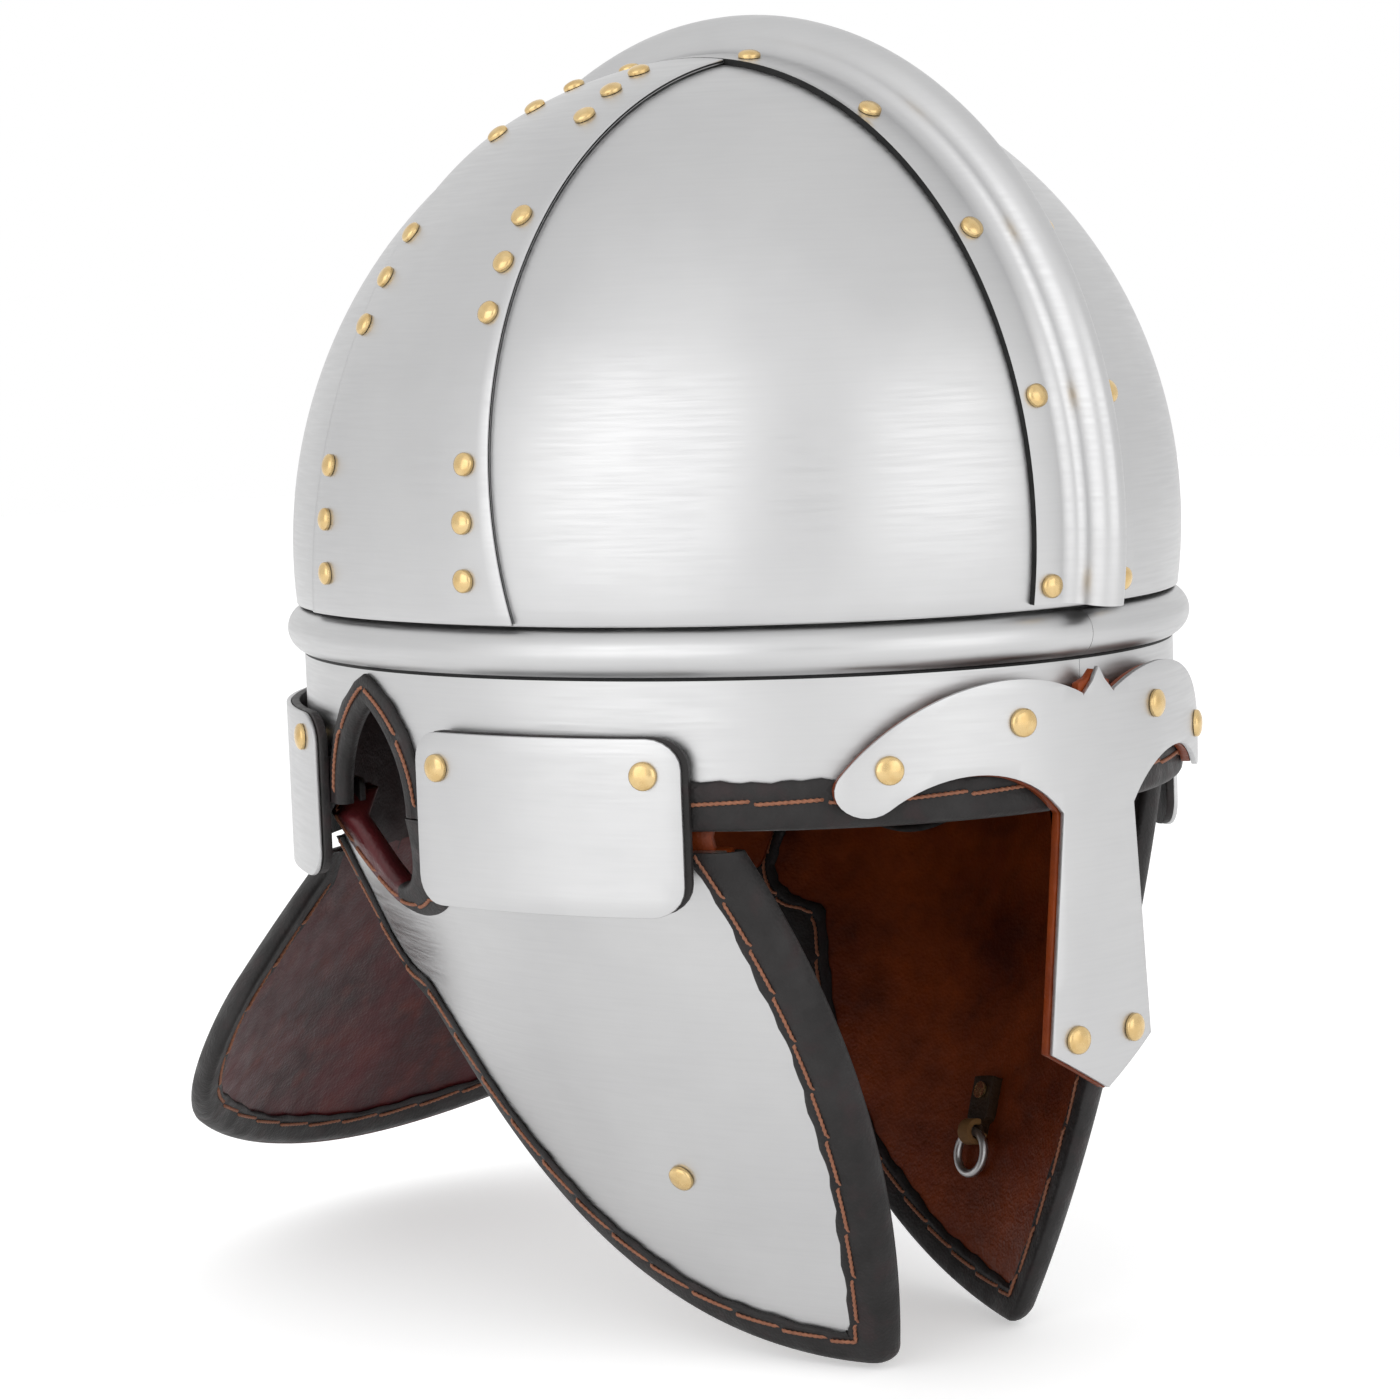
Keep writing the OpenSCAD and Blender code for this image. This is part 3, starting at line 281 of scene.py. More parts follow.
def leather(name, base, worn, patch, grain, rough, tint=None):
    """Dyed leather: uneven dye in patches, lighter where rubbed, over a fine pebbled grain; sizes in mm."""
    finish, tree, shader, where = new_finish(name)
    dye = put(tree, "TexNoise", {"Vector": where, "Scale": 1000 / patch, "Detail": 5, "Roughness": 0.62})
    share = put(tree, "MapRange", {0: dye.outputs[0], 1: 0.32, 2: 0.68, 3: 0, 4: 1})
    tone = put(tree, "Mix", {0: share.outputs[0], 6: linear(base), 7: linear(worn)}, data_type="RGBA")
    if tint:
        rubbed = put(tree, "TexNoise", {"Vector": where, "Scale": 1000 / (patch * 0.35), "Detail": 4})
        part = put(tree, "MapRange", {0: rubbed.outputs[0], 1: 0.52, 2: 0.75, 3: 0, 4: 0.8})
        tone = put(tree, "Mix", {0: part.outputs[0], 6: tone.outputs[2], 7: linear(tint)}, data_type="RGBA")
    pores = put(tree, "TexVoronoi", {"Vector": where, "Scale": 1000 / grain})
    creases = put(tree, "TexNoise", {"Vector": where, "Scale": 1000 / (grain * 7), "Detail": 5})
    fine = put(tree, "Bump", {"Strength": 0.6, "Distance": 0.14 * MM, "Height": pores.outputs[0]})
    soft = put(tree, "Bump", {"Strength": 0.7, "Distance": 0.7 * MM, "Height": creases.outputs[0],
                              "Normal": fine.outputs[0]})
    gloss = put(tree, "MapRange", {0: creases.outputs[0], 1: 0.3, 2: 0.7, 3: rough - 0.08, 4: rough + 0.1})
    feed(tree, shader, {
        "Base Color": tone.outputs[2], "Roughness": gloss.outputs[0], "Normal": soft.outputs[0],
        "Specular IOR Level": 0.28,
    })
    return finish


# Black calf: nearly black with a soft low sheen, greyer or faintly red where the dye has rubbed thin.
black_calf = leather("black_dyed_calf", "#1b1919", "#2a2828", 18, 0.8, 0.52, "#2f2324")

# Linen thread, waxed and dyed orange brown: dull with a soft sheen, lighter and darker every 1.2 mm.
waxed_thread, tree, shader, where = new_finish("waxed_linen_thread")
wax = put(tree, "TexNoise", {"Vector": where, "Scale": 1000 / 1.2, "Detail": 3})
tone = put(tree, "Mix", {0: wax.outputs[0], 6: linear("#6c3f2b"), 7: linear("#a86f52")}, data_type="RGBA")
feed(tree, shader, {"Base Color": tone.outputs[2], "Roughness": 0.65})


def stitch(name, line, body, slot="black_leather", length=STITCH):
    """One two-ply thread along a line of (place, outward direction): long stitches, each lying a little
    askew of the line and diving into the leather at its ends."""
    places = [Vector(p) for p, _ in line]
    reach = [0.0]
    for p, q in zip(places, places[1:]):
        reach.append(reach[-1] + (q - p).length)
    count = max(1, round(reach[-1] / length))
    each = round(reach[-1] / count / THREAD_LAY * 8)
    steps = count * each
    rows = []
    k = 0
    for step in range(steps + 1):
        run = reach[-1] * step / steps
        while k < len(reach) - 2 and reach[k + 1] < run:
            k += 1
        f = (run - reach[k]) / (reach[k + 1] - reach[k])
        out = Vector(line[k][1]).lerp(Vector(line[k + 1][1]), f).normalized()
        across = out.cross(places[k + 1] - places[k]).normalized()
        part = step % each / each
        sunk = DIVE * (1 - min(1, min(part, 1 - part) * length / DIVE_RUN))
        askew = (part - 0.5) * ASKEW
        rows.append((places[k].lerp(places[k + 1], f) - out * sunk + across * askew, out, across, run))

    def place(u, v):
        p, out, across, run = rows[round(v * steps)]
        a = 2 * pi * u
        r = THREAD_R * (1 + 0.25 * cos(2 * (a - 2 * pi * run / THREAD_LAY)))
        return p + out * r * sin(a) + across * r * cos(a)

    thread = formed_sheet(name, 8, steps, place)
    finish_piece(thread, waxed_thread, smooth=60)
    fit(thread, body, slot)


def fold_over(width, inside, outside, wall, seam):
    """Outer and inner outline of a strip folded over an edge; across from the fold, and out from the sheet.
    Both faces are drawn in along the seam and thin out at the cut edges."""
    mid, half = (inside + outside) / 2, (outside - inside) / 2
    bend = [radians(90 - 20 * i) for i in range(10)]
    soft = min(half, 2.4)
    face = [(width, 0.6), (width - 0.5, 0.15), ((width + seam) / 2, 0), (seam + 0.9, 0.06), (seam, 0.3)]
    face += [(seam - 0.9, 0.06), ((seam + soft) / 2, 0)]
    outer = [(a, outside - drawn) for a, drawn in face]
    outer += [(soft - soft * cos(a), mid + half * sin(a)) for a in bend]
    outer += [(a, inside + drawn) for a, drawn in face[::-1]]
    hold = [(a, outside - wall) for a, _ in face]
    hold += [(wall + (soft - wall) * (1 - cos(a)), mid + (half - wall) * sin(a)) for a in bend]
    hold += [(a, inside + wall) for a, _ in face[::-1]]
    return outer, hold


def arch_edge(z):
    """How far an ear trim reaches from the middle of the ear, at a height, with 0.2 mm to spare."""
    return sqrt((EAR_ARC + EAR_TRIM_W + 0.2) ** 2 - z * z) - EAR_OFF


trim_out, trim_in = fold_over(EDGING_W, TRIM_IN, TRIM_OUT, TRIM_WALL, EDGING_SEAM)
for end in ("front", "rear"):
    def edging_turn(z, j, count=EDGING_STEPS):
        """The angle round the rim at a station, between the trims of the two ears."""
        y = EAR_Y - arch_edge(z) if end == "front" else EAR_Y + arch_edge(z)
        stop = pi / 2 + asin(y / RIM_R)
        return stop * (2 * j / count - 1) if end == "front" else stop + 2 * (pi - stop) * j / count

    edging = swept(
        "edge_strip_" + end, trim_out, trim_in, EDGING_STEPS,
        lambda z, r, j: on_rim(edging_turn(z, j), RIM_R + r, z), ragged=0.25,
    )
    finish_piece(edging, black_calf, smooth=60)
    fit(edging, "shell", "black_leather", "rim_edging_" + end)
    turns = [edging_turn(EDGING_SEAM, 2 + j, EDGING_STEPS + 4) for j in range(EDGING_STEPS + 1)]
    line = [(on_rim(a, RIM_R + TRIM_OUT, EDGING_SEAM), (RIM_K * sin(a), -cos(a), 0)) for a in turns]
    stitch("rim_edging_thread_" + end, line, "shell")

trim_out, trim_in = fold_over(EAR_TRIM_W, TRIM_IN, TRIM_OUT, TRIM_WALL, EAR_SEAM)
for side, sign in SIDES:
    def arch_spot(grow, r, j):
        """A place on an ear trim, outwards from the arch and from the face of the rim."""
        y, z = ear_arch(grow, ARCH_STEPS)[j]
        return (sign * rim_x(y * RIM_K, RIM_R + r), y * RIM_K, z)

    trim = swept("ear_arch_trim_" + side, trim_out, trim_in, 2 * ARCH_STEPS, arch_spot, ragged=0.2)
    finish_piece(trim, black_calf, smooth=60)
    fit(trim, "shell", "black_leather", "ear_trim_" + side)
    line = [(arch_spot(EAR_SEAM, TRIM_OUT, j), (sign, 0.2, 0)) for j in range(1, 2 * ARCH_STEPS)]
    stitch("ear_trim_thread_" + side, line, "shell")

# Dome plates: four quarter shells of 1.5 mm mild steel, raised over a form and satin polished. They sit on
# the bead of the rim, and the straps and the crest cover their joints and hold them with rivets.
DOME_R, DOME_RISE, DOME_SEAT, DOME_WIDEST = 103, 118, 46.5, 60
DOME_K = DOME_RISE / DOME_R
DOME_LEAN = 5.5 / (DOME_WIDEST + DOME_RISE - DOME_SEAT)  # the crown stands 5.5 mm forwards
SEAT = (DOME_SEAT - DOME_WIDEST) / DOME_K  # height of the seat in the round form
CROWN_HOLE, JOINT_GAP = 6, 0.28  # the gap is in degrees, at each side of a quarter
DOME_MIDDLE = Vector((0, 0, 50 * MM))


def on_dome(x, y, z):
    """A place of the dome's round form, stretched to the oval of the rim and leaned forwards."""
    high = DOME_WIDEST + DOME_K * z
    return (x, RIM_K * y - DOME_LEAN * (high - DOME_SEAT), high)


for end, back in (("front", -1), ("rear", 1)):
    for side, sign in SIDES:
        def quarter(u, v):
            """A place on one plate, from joint to joint and up to the crown."""
            turn = radians(JOINT_GAP + (90 - 2 * JOINT_GAP) * u)
            low, top = asin(SEAT / DOME_R), acos(CROWN_HOLE / DOME_R)
            lift = low + (top - low) * v
            ring = DOME_R * cos(lift)
            return on_dome(sign * ring * sin(turn), back * ring * cos(turn), DOME_R * sin(lift))

        plate = formed_sheet("dome_quarter_%s_%s" % (end, side), 40, 48, quarter)
        # Painted shade: the plates' cut edges are painted black as a dark line along the seams.
        finish_piece(plate, satin_steel, wall=1.5, soften=0.3, cut_edge=painted_shade_black)
        # Painted shade: the inside faces are painted black.
        blacken(plate, lambda face: face.normal.dot(face.center - DOME_MIDDLE) < 0)
        fit(plate, "shell", "satin_steel", "dome_plate_%s_%s" % (end, side))

# Side straps: waisted strips of 1.2 mm steel over the joints at the ears, running up to the crest, with
# three groups of three brass rivets down each edge. They stand a little behind the middle and narrow from
# 81 to 55 mm.
STRAP_R, STRAP_STOP = 104.3, 16.7  # the outer face, and where a strap ends beside the crest
STRAP_TOP_HALF, STRAP_FLARE = 27.5 / RIM_K, 13 / RIM_K
STRAP_BACK, STRAP_DRIFT = 6, 3.6


def strap_middle(angle):
    """How far behind the middle a strap runs, at an angle up from the dome's widest line."""
    return (STRAP_BACK + STRAP_DRIFT * sin(angle)) / RIM_K


def strap_half(angle):
    """Half the width of a strap, which flares towards the rim."""
    rise = (STRAP_R * sin(angle) - SEAT) / (STRAP_R - SEAT)
    return STRAP_TOP_HALF + STRAP_FLARE * (1 - rise) ** 2


def on_strap(y, angle):
    """A place of the dome's round form, on a strap's face."""
    reach = sqrt(STRAP_R ** 2 - y * y)
    return (reach * cos(angle), y, reach * sin(angle))


for side, sign in SIDES:
    def strap_spot(u, v):
        """A place on a strap. The angles of its ends, at seat and crest, settle in four rounds."""
        across = 2 * u - 1
        low, top = asin(SEAT / STRAP_R), acos(STRAP_STOP / STRAP_R)
        for _ in range(4):
            reach = sqrt(STRAP_R ** 2 - (strap_middle(low) + across * strap_half(low)) ** 2)
            low = asin(SEAT / reach)
            reach = sqrt(STRAP_R ** 2 - (strap_middle(top) + across * strap_half(top)) ** 2)
            top = acos(STRAP_STOP / reach)
        angle = low + (top - low) * v
        x, y, z = on_strap(strap_middle(angle) + across * strap_half(angle), angle)
        return on_dome(sign * x, y, z)

    strap = formed_sheet("strap_sheet_" + side, 20, 60, strap_spot)
    # Painted shade: the strap's cut edges are painted black as a dark line along the seams.
    finish_piece(strap, satin_steel, wall=1.2, soften=0.38, cut_edge=painted_shade_black)
    fit(strap, "shell", "satin_steel", "side_strap_" + side)

# Crest: one strip of 1.2 mm steel from brow to nape, its middle drawn up into a hollow round comb between two
# flat flanges, each with ten brass rivets.
CREST_OUT, CREST_WALL, FLANGE = 104.3, 1.2, 16.5  # the outer face, the sheet, and middle to flange edge
COMB_HALF, COMB_TOP, COMB_FILLET = 4.8, 107.465, 2.85
CREST_FOOT, CREST_STEPS = 6.02, 120  # it ends this many degrees below the dome's widest line


def crest_outline(wall):
    """The crest's outline: the right half from the flange's edge to the top of the comb, then its mirror."""
    flat = FLANGE - COMB_HALF - COMB_FILLET
    across = [FLANGE - flat * i / 6 for i in range(7)]
    flange = [(x, sqrt((CREST_OUT - wall) ** 2 - x * x)) for x in across]
    middle, foot = (COMB_HALF + COMB_FILLET, CREST_OUT + COMB_FILLET), COMB_FILLET + wall
    turn = [radians(18 * i) for i in range(1, 6)]
    fillet = [(middle[0] - foot * sin(a), middle[1] - foot * cos(a)) for a in turn]
    half = flange + fillet + arc((0, COMB_TOP), COMB_HALF - wall, 0, 90, 6)
    return half + [(-x, r) for x, r in half[-2::-1]]


def crest_spot(x, r, j):
    """A place on the crest, sideways and out from the dome's middle, at a station from brow to nape."""
    a = radians(-CREST_FOOT + (180 + 2 * CREST_FOOT) * j / CREST_STEPS)
    return on_dome(x, -r * cos(a), r * sin(a))


crest = swept("crest_strip", crest_outline(0), crest_outline(CREST_WALL), CREST_STEPS, crest_spot)
finish_piece(crest, satin_steel, soften=0.35, smooth=35)
# Painted shade: the flanges' cut edges are painted black as a dark line along the seams.
blacken(crest, lambda face: abs(face.center.x) > (FLANGE - 0.05) * MM and abs(face.normal.x) > 0.95)
fit(crest, "shell", "satin_steel", "crest_ridge")

# Rivets: turned brass with low domed heads, set from outside and closed over inside. The heads are polished
# by hand, so each dome is slightly uneven.
SMALL_HEAD, BIG_HEAD, HEAD_RISE, HEAD_SIDE = 5.5, 6.6, 1.9, 0.65
SHANK_R, TAIL_R, THIN_GRIP = 1.5, 2.2, 3
STRAP_ROW_FOOT, GROUP_STEP, RIVET_STEP = -1.6, 30.7, 6.5  # degrees up from the dome's widest line
STRAP_ROW_TOP, STRAP_ROW_FLARE = 5.8, 22.2
CREST_ROW, CREST_ROW_FOOT = 12.075, 4  # off the middle, and degrees below the widest line

# Yellow brass: pale gold with a small bright spot on each head, duller in patches of 3 mm.
brass, tree, shader, where = new_finish("polished_yellow_brass")
dull = put(tree, "TexNoise", {"Vector": where, "Scale": 1000 / 3, "Detail": 4})
tone = put(tree, "Mix", {0: dull.outputs[0], 6: linear("#e3cb9a"), 7: linear("#bd9a60")}, data_type="RGBA")
rough = put(tree, "MapRange", {0: dull.outputs[0], 1: 0.3, 2: 0.7, 3: 0.16, 4: 0.34})
dent = put(tree, "Bump", {"Strength": 0.35, "Distance": 0.3 * MM, "Height": dull.outputs[0]})
feed(tree, shader, {
    "Metallic": 1, "Base Color": tone.outputs[2], "Roughness": rough.outputs[0], "Normal": dent.outputs[0],
})


def turn_rivet(head, grip):
    """A rivet standing on z = 0: a disc drawn up ring by ring from its tail through the shank to the head."""
    half = head / 2
    rings = [(TAIL_R, -grip - 0.8), (TAIL_R, -grip - 0.2), (SHANK_R, -grip), (SHANK_R, 0)]
    rings += [(half - 0.15, 0.02), (half, 0.12), (half, HEAD_SIDE)]
    dome = (0.25, 0.5, 0.8, 1.1, 1.4)
    rings += [(half * cos(a), HEAD_SIDE + (HEAD_RISE - HEAD_SIDE) * sin(a)) for a in dome]
    bpy.ops.object.select_all(action="DESELECT")
    bpy.ops.mesh.primitive_circle_add(
        vertices=24, radius=rings[0][0] * MM, fill_type="NGON", location=(0, 0, rings[0][1] * MM)
    )
    rivet = bpy.context.object
    bpy.ops.object.mode_set(mode="EDIT")
    bpy.ops.mesh.select_all(action="SELECT")
    for (r0, z0), (r1, z1) in zip(rings, rings[1:]):
        bpy.ops.mesh.extrude_region_move(TRANSFORM_OT_translate={"value": (0, 0, (z1 - z0) * MM)})
        bpy.ops.transform.resize(value=(r1 / r0, r1 / r0, 1), center_override=(0, 0, z1 * MM))
    bpy.ops.object.mode_set(mode="OBJECT")
    bpy.ops.object.transform_apply(location=True)
    return rivet


def set_rivets(name, head, grip, spots, body, node):
    """Copies of one rivet at each (place, outward direction), joined as one piece."""
    master, copies = turn_rivet(head, grip), []
    for place, out in spots:
        turn = Vector(out).to_track_quat("Z", "Y").to_matrix().to_4x4()
        copy = master.copy()
        copy.data = master.data.copy()
        bpy.context.collection.objects.link(copy)
        copy.data.transform(Matrix.Translation(Vector(place) * MM) @ turn)
        copies.append(copy)
    bpy.data.objects.remove(master)
    bpy.ops.object.select_all(action="DESELECT")
    for copy in copies:
        copy.select_set(True)
    bpy.context.view_layer.objects.active = copies[0]
    if len(copies) > 1:
        bpy.ops.object.join()
    rivets = bpy.context.object
    rivets.name = rivets.data.name = name
    finish_piece(rivets, brass, smooth=50)
    fit(rivets, body, "rivet_brass", node)


def dome_rivet(x, y, z):
    """A rivet's place on the dome and its direction outwards, from a place of the round form."""
    return (on_dome(x, y, z), (x, y / RIM_K, z / DOME_K + DOME_LEAN * y / RIM_K))


for side, sign in SIDES:
    spots = []
    for row in (-1, 1):
        for group in range(3):
            for i in range(3):
                angle = radians(STRAP_ROW_FOOT + GROUP_STEP * group + RIVET_STEP * i)
                off = row * (STRAP_ROW_TOP + STRAP_ROW_FLARE * cos(angle)) / RIM_K
                x, y, z = on_strap(strap_middle(angle) + off, angle)
                spots.append(dome_rivet(sign * x, y, z))
    set_rivets("strap_rivet_set_" + side, SMALL_HEAD, THIN_GRIP, spots, "shell", "strap_rivets_" + side)
spots = []
for sign in (-1, 1):
    for i in range(10):
        a = radians(-CREST_ROW_FOOT + (180 + 2 * CREST_ROW_FOOT) * i / 9)
        ring = sqrt(CREST_OUT ** 2 - CREST_ROW * CREST_ROW)
        spots.append(dome_rivet(sign * CREST_ROW, -ring * cos(a), ring * sin(a)))
set_rivets("crest_rivet_set", SMALL_HEAD, THIN_GRIP, spots, "shell", "crest_rivets")

# Brow plate: 1.2 mm steel cut in one with the nasal and a small spike, bent to the rim over a brown leather
# backing that shows a little along its edges. Six brass rivets hold it.
FACE_R, BACK_R = 106, 104.7  # outer faces of a plate and of its backing
NASAL_TIP, NASAL_LOW, SPIKE_TOP = -65, -55, 32.6
BROW_RIVETS = ((52.2, 13.3), (22.7, 21.8), (9.6, -52.4))

# Antiqued brown calf: warm red brown with a low gloss, darkened unevenly in patches of 38 mm.
brown_calf = leather("brown_antiqued_calf", "#471806", "#8f3e12", 38, 0.9, 0.42, "#6a260a")


def bearing(centre, p):
    """The direction from a centre to a place, in degrees."""
    return degrees(atan2(p[1] - centre[1], p[0] - centre[0]))


def brow_outline(grow, top, notch):
    """Outline of the brow plate: the right half from the tip of the nasal round to the spike, then its
    mirror. The lower edges grow by one amount and the upper edge by another, and a notch is cut on each
    side of the spike."""
    brow, eye, tail, arm = (24.9, -11.7), (34.2, -17.5), radians(33), 37.4
    brow_r, eye_r, tail_r = 43.3 + top, 28.3 - grow, 5.9 + top
    end = (brow[0] + arm * cos(tail), brow[1] + arm * sin(tail))
    low, root, spike = 17 + grow, 12 + grow, 5.5
    half = [(0, NASAL_TIP - grow), (low, NASAL_LOW - grow * 0.4)]
    root_z = eye[1] + sqrt(eye_r ** 2 - (eye[0] - root) ** 2)
    half += [(low + (root - low) * i / 8, NASAL_LOW * (1 - i / 8)) for i in range(1, 9)]
    half += [(root, root_z * 0.5)]
    first = 180 - degrees(asin((root_z - eye[1]) / eye_r))
    turn = bearing(eye, end)
    half += arc(eye, eye_r, first, turn, 20)
    half += arc(end, tail_r, turn - 180, 33, 12)[1:]
    half += arc(brow, brow_r, 35, degrees(acos((spike - brow[0]) / brow_r)), 24)
    half += [(spike - 0.3, SPIKE_TOP - notch), (2, SPIKE_TOP - notch * 0.5 + top), (0, SPIKE_TOP + top)]
    return half + [(-x, z) for x, z in half[-2:0:-1]]


def on_brow(r):
    """Lays a blank on the front of the rim."""
    return lambda x, z: (x, -RIM_K * sqrt(r * r - x * x), z)


backing = cut_blank("brow_leather", brow_outline(0.3, -0.7, 3.6), 4, on_brow(BACK_R))
finish_piece(backing, brown_calf, wall=2, soften=0.3)
fit(backing, "shell", "brown_leather", "brow_backing")
plate = cut_blank("brow_steel", brow_outline(0, 0, 6.2), 4, on_brow(FACE_R))
finish_piece(plate, satin_steel, wall=1.2, soften=0.25)
fit(plate, "shell", "satin_steel", "brow_plate")


def rim_spots(spots):
    """Rivet places on the plates round the rim, on both sides, from angles and heights."""
    found = []
    for sign in (-1, 1):
        for turn, z in spots:
            found.append((on_rim(sign * turn, FACE_R, z), (sign * RIM_K * sin(turn), -cos(turn), 0)))
    return found


spots = rim_spots([(asin(x / FACE_R), z) for x, z in BROW_RIVETS])
set_rivets("brow_rivet_set", BIG_HEAD, THIN_GRIP, spots, "shell", "brow_rivets")

# Hinge plates: 1.2 mm steel plates with rounded corners, bent to the rim on a thin black leather backing. A
# rivet at each upper corner goes through the rim and the hinge leather inside.
CHEEK_PLATE, CHEEK_PAD = (-74.5, -5.5, -19, 21.6, 7), (-74.9, -6, -18.5, 21.9, 7)
NAPE_PLATE, NAPE_PAD = (-54, 54, -19, 21.6, 7), (-54.3, 54, -18.5, 21.9, 7)
NAPE_TURN = radians(90 + 51.4)  # the middle of a nape plate, round the rim from the brow
CHEEK_GRIP, NAPE_GRIP = 10.5, 11


def rounded(a0, a1, b0, b1, r):
    """Outline of a plate from its four sides, with rounded corners."""
    return (
        arc((a1 - r, b0 + r), r, -90, 0, 6) + arc((a1 - r, b1 - r), r, 0, 90, 6)
        + arc((a0 + r, b1 - r), r, 90, 180, 6) + arc((a0 + r, b0 + r), r, 180, 270, 6)
    )


for side, sign in SIDES:
    def on_side(r):
        return lambda y, z: (sign * rim_x(y, r), y, z)

    def on_nape(r):
        return lambda a, z: on_rim(sign * (NAPE_TURN + asin(a / r)), r, z)

    for part, node, pad, sheet, laid in (
        ("cheek", "cheek", CHEEK_PAD, CHEEK_PLATE, on_side), ("nape", "neck", NAPE_PAD, NAPE_PLATE, on_nape),
    ):
        backing = cut_blank("%s_hinge_pad_%s" % (part, side), rounded(*pad), 5, laid(BACK_R))
        finish_piece(backing, black_calf, wall=2, soften=0.3)
        fit(backing, "shell", "black_leather", "%s_plate_backing_%s" % (node, side))
        plate = cut_blank("%s_hinge_steel_%s" % (part, side), rounded(*sheet), 5, laid(FACE_R))
        finish_piece(plate, satin_steel, wall=1.2, soften=0.3)
        fit(plate, "shell", "satin_steel", "%s_hinge_plate_%s" % (node, side))

spots = rim_spots([(acos(-y / (RIM_K * FACE_R)), 13.3) for y in (-67, -13)])
set_rivets("cheek_hinge_rivet_set", BIG_HEAD, CHEEK_GRIP, spots, "shell", "cheek_hinge_rivets")
spots = rim_spots([(radians(90 + t), 15.6) for t in (25.2, 77.6)])
set_rivets("nape_hinge_rivet_set", BIG_HEAD, NAPE_GRIP, spots, "shell", "neck_hinge_rivets")

# Liner: a band of soft tan leather inside the bead, held by the lowest rivets, and a cap of four gores
# above it that keeps the head off the steel.
LINER_OUT, LINER_IN, LINER_LOW, LINER_TOP, LINER_STEPS = 98.7, 96.2, 36, 62.3, 160
CAP_R, CAP_LOW, GORES, SEAM_DIP = 96, 2.1, 4, 1.2

# Tan leather, worn rough side out: pale, matt and warm, uneven in patches of 40 mm.
tan_suede = leather("tan_liner_leather", "#6b4a2c", "#94703f", 40, 1.4, 0.75)
band = swept(
    "liner_strip", [(LINER_OUT, LINER_LOW), (LINER_OUT, LINER_TOP)],
    [(LINER_IN, LINER_LOW), (LINER_IN, LINER_TOP)],
    LINER_STEPS, lambda r, z, j: on_rim(2 * pi * j / LINER_STEPS, r, z),
)
finish_piece(band, tan_suede)
fit(band, "shell", "liner_leather", "liner_band")


def cap_spot(u, v):
    """A place on the cap, which dips along the seams between its gores."""
    turn = 2 * pi * u
    low, top = asin(CAP_LOW / CAP_R), acos(CROWN_HOLE / CAP_R)
    lift = low + (top - low) * v
    seam = abs((u * GORES + 0.5) % 1 - 0.5) * 2
    r = CAP_R - SEAM_DIP * (1 - seam) ** 6
    ring = r * cos(lift)
    return on_dome(ring * sin(turn), ring * cos(turn), r * sin(lift))


cap = formed_sheet("liner_gores", 120, 40, cap_spot)
finish_piece(cap, tan_suede, wall=2.5, soften=0.4)
fit(cap, "shell", "liner_leather", "liner_cap")

# Cheek guards: 1.2 mm steel rolled to a gentle curve, lined with antiqued brown leather and bound along the
# edges with black calf, sewn through with orange brown thread. A brown flap behind the rear edge and a
# black gusset behind the ear close the gaps to the neck guard and the rim.
CHEEK_UP = Vector((0.4157, 0.1011, 0.9039))  # the line that the rolled form runs along
CHEEK_AXIS_X, CHEEK_AXIS_Y = -64.10, -6.2
LINING_R, PLATE_R, BIND_IN_R, BIND_OUT_R = 147.5, 148.8, 143.7, 150.1
FRONT_AT, FRONT_R, LOW_AT, LOW_R = (146.5, -62), 232, (-68, -18), 117.5
LOBE_AT, LOBE_R, TIP_R, CHEEK_TOP = (42, -33), 22, 6.5, -5
EAR_AT, NOTCH_R, EAR_SLANT = (20, -4), 21.5, radians(6)
BIND_W, BIND_WALL, BIND_SEAM, UNDER_BIND = 9, 1.15, 6.4, 1.3
FLAP, FLAP_R = (57, 72.5, -40, -9, 5), 143.5
GUSSET, GUSSET_R, GUSSET_BEND = (41, 63, -14, 5, 2), 147.3, -8


def cheek_x(y, z, r):
    """How far out the rolled form of a guard lies at a depth and a height."""
    dy = y - CHEEK_AXIS_Y
    k = CHEEK_UP.y * dy + CHEEK_UP.z * z
    a = 1 - CHEEK_UP.x ** 2
    root = sqrt(CHEEK_UP.x ** 2 * k * k - a * (dy * dy + z * z - k * k - r * r))
    return (CHEEK_UP.x * k + root) / a + CHEEK_AXIS_X


def meet(c, r, d, s, near):
    """Where two circles cross, the crossing nearest to a place."""
    c, d = Vector(c), Vector(d)
    gap = (d - c).length
    run = (gap * gap + r * r - s * s) / (2 * gap)
    way = (d - c) / gap
    up = Vector((-way.y, way.x)) * sqrt(max(0, r * r - run * run))
    return min((c + way * run + up, c + way * run - up), key=lambda p: (p - Vector(near)).length)


def ear_top(y):
    """Height of a guard's top behind the ear, which slopes down to clear the rim."""
    return -5.1 - (y + 3) * tan(EAR_SLANT)


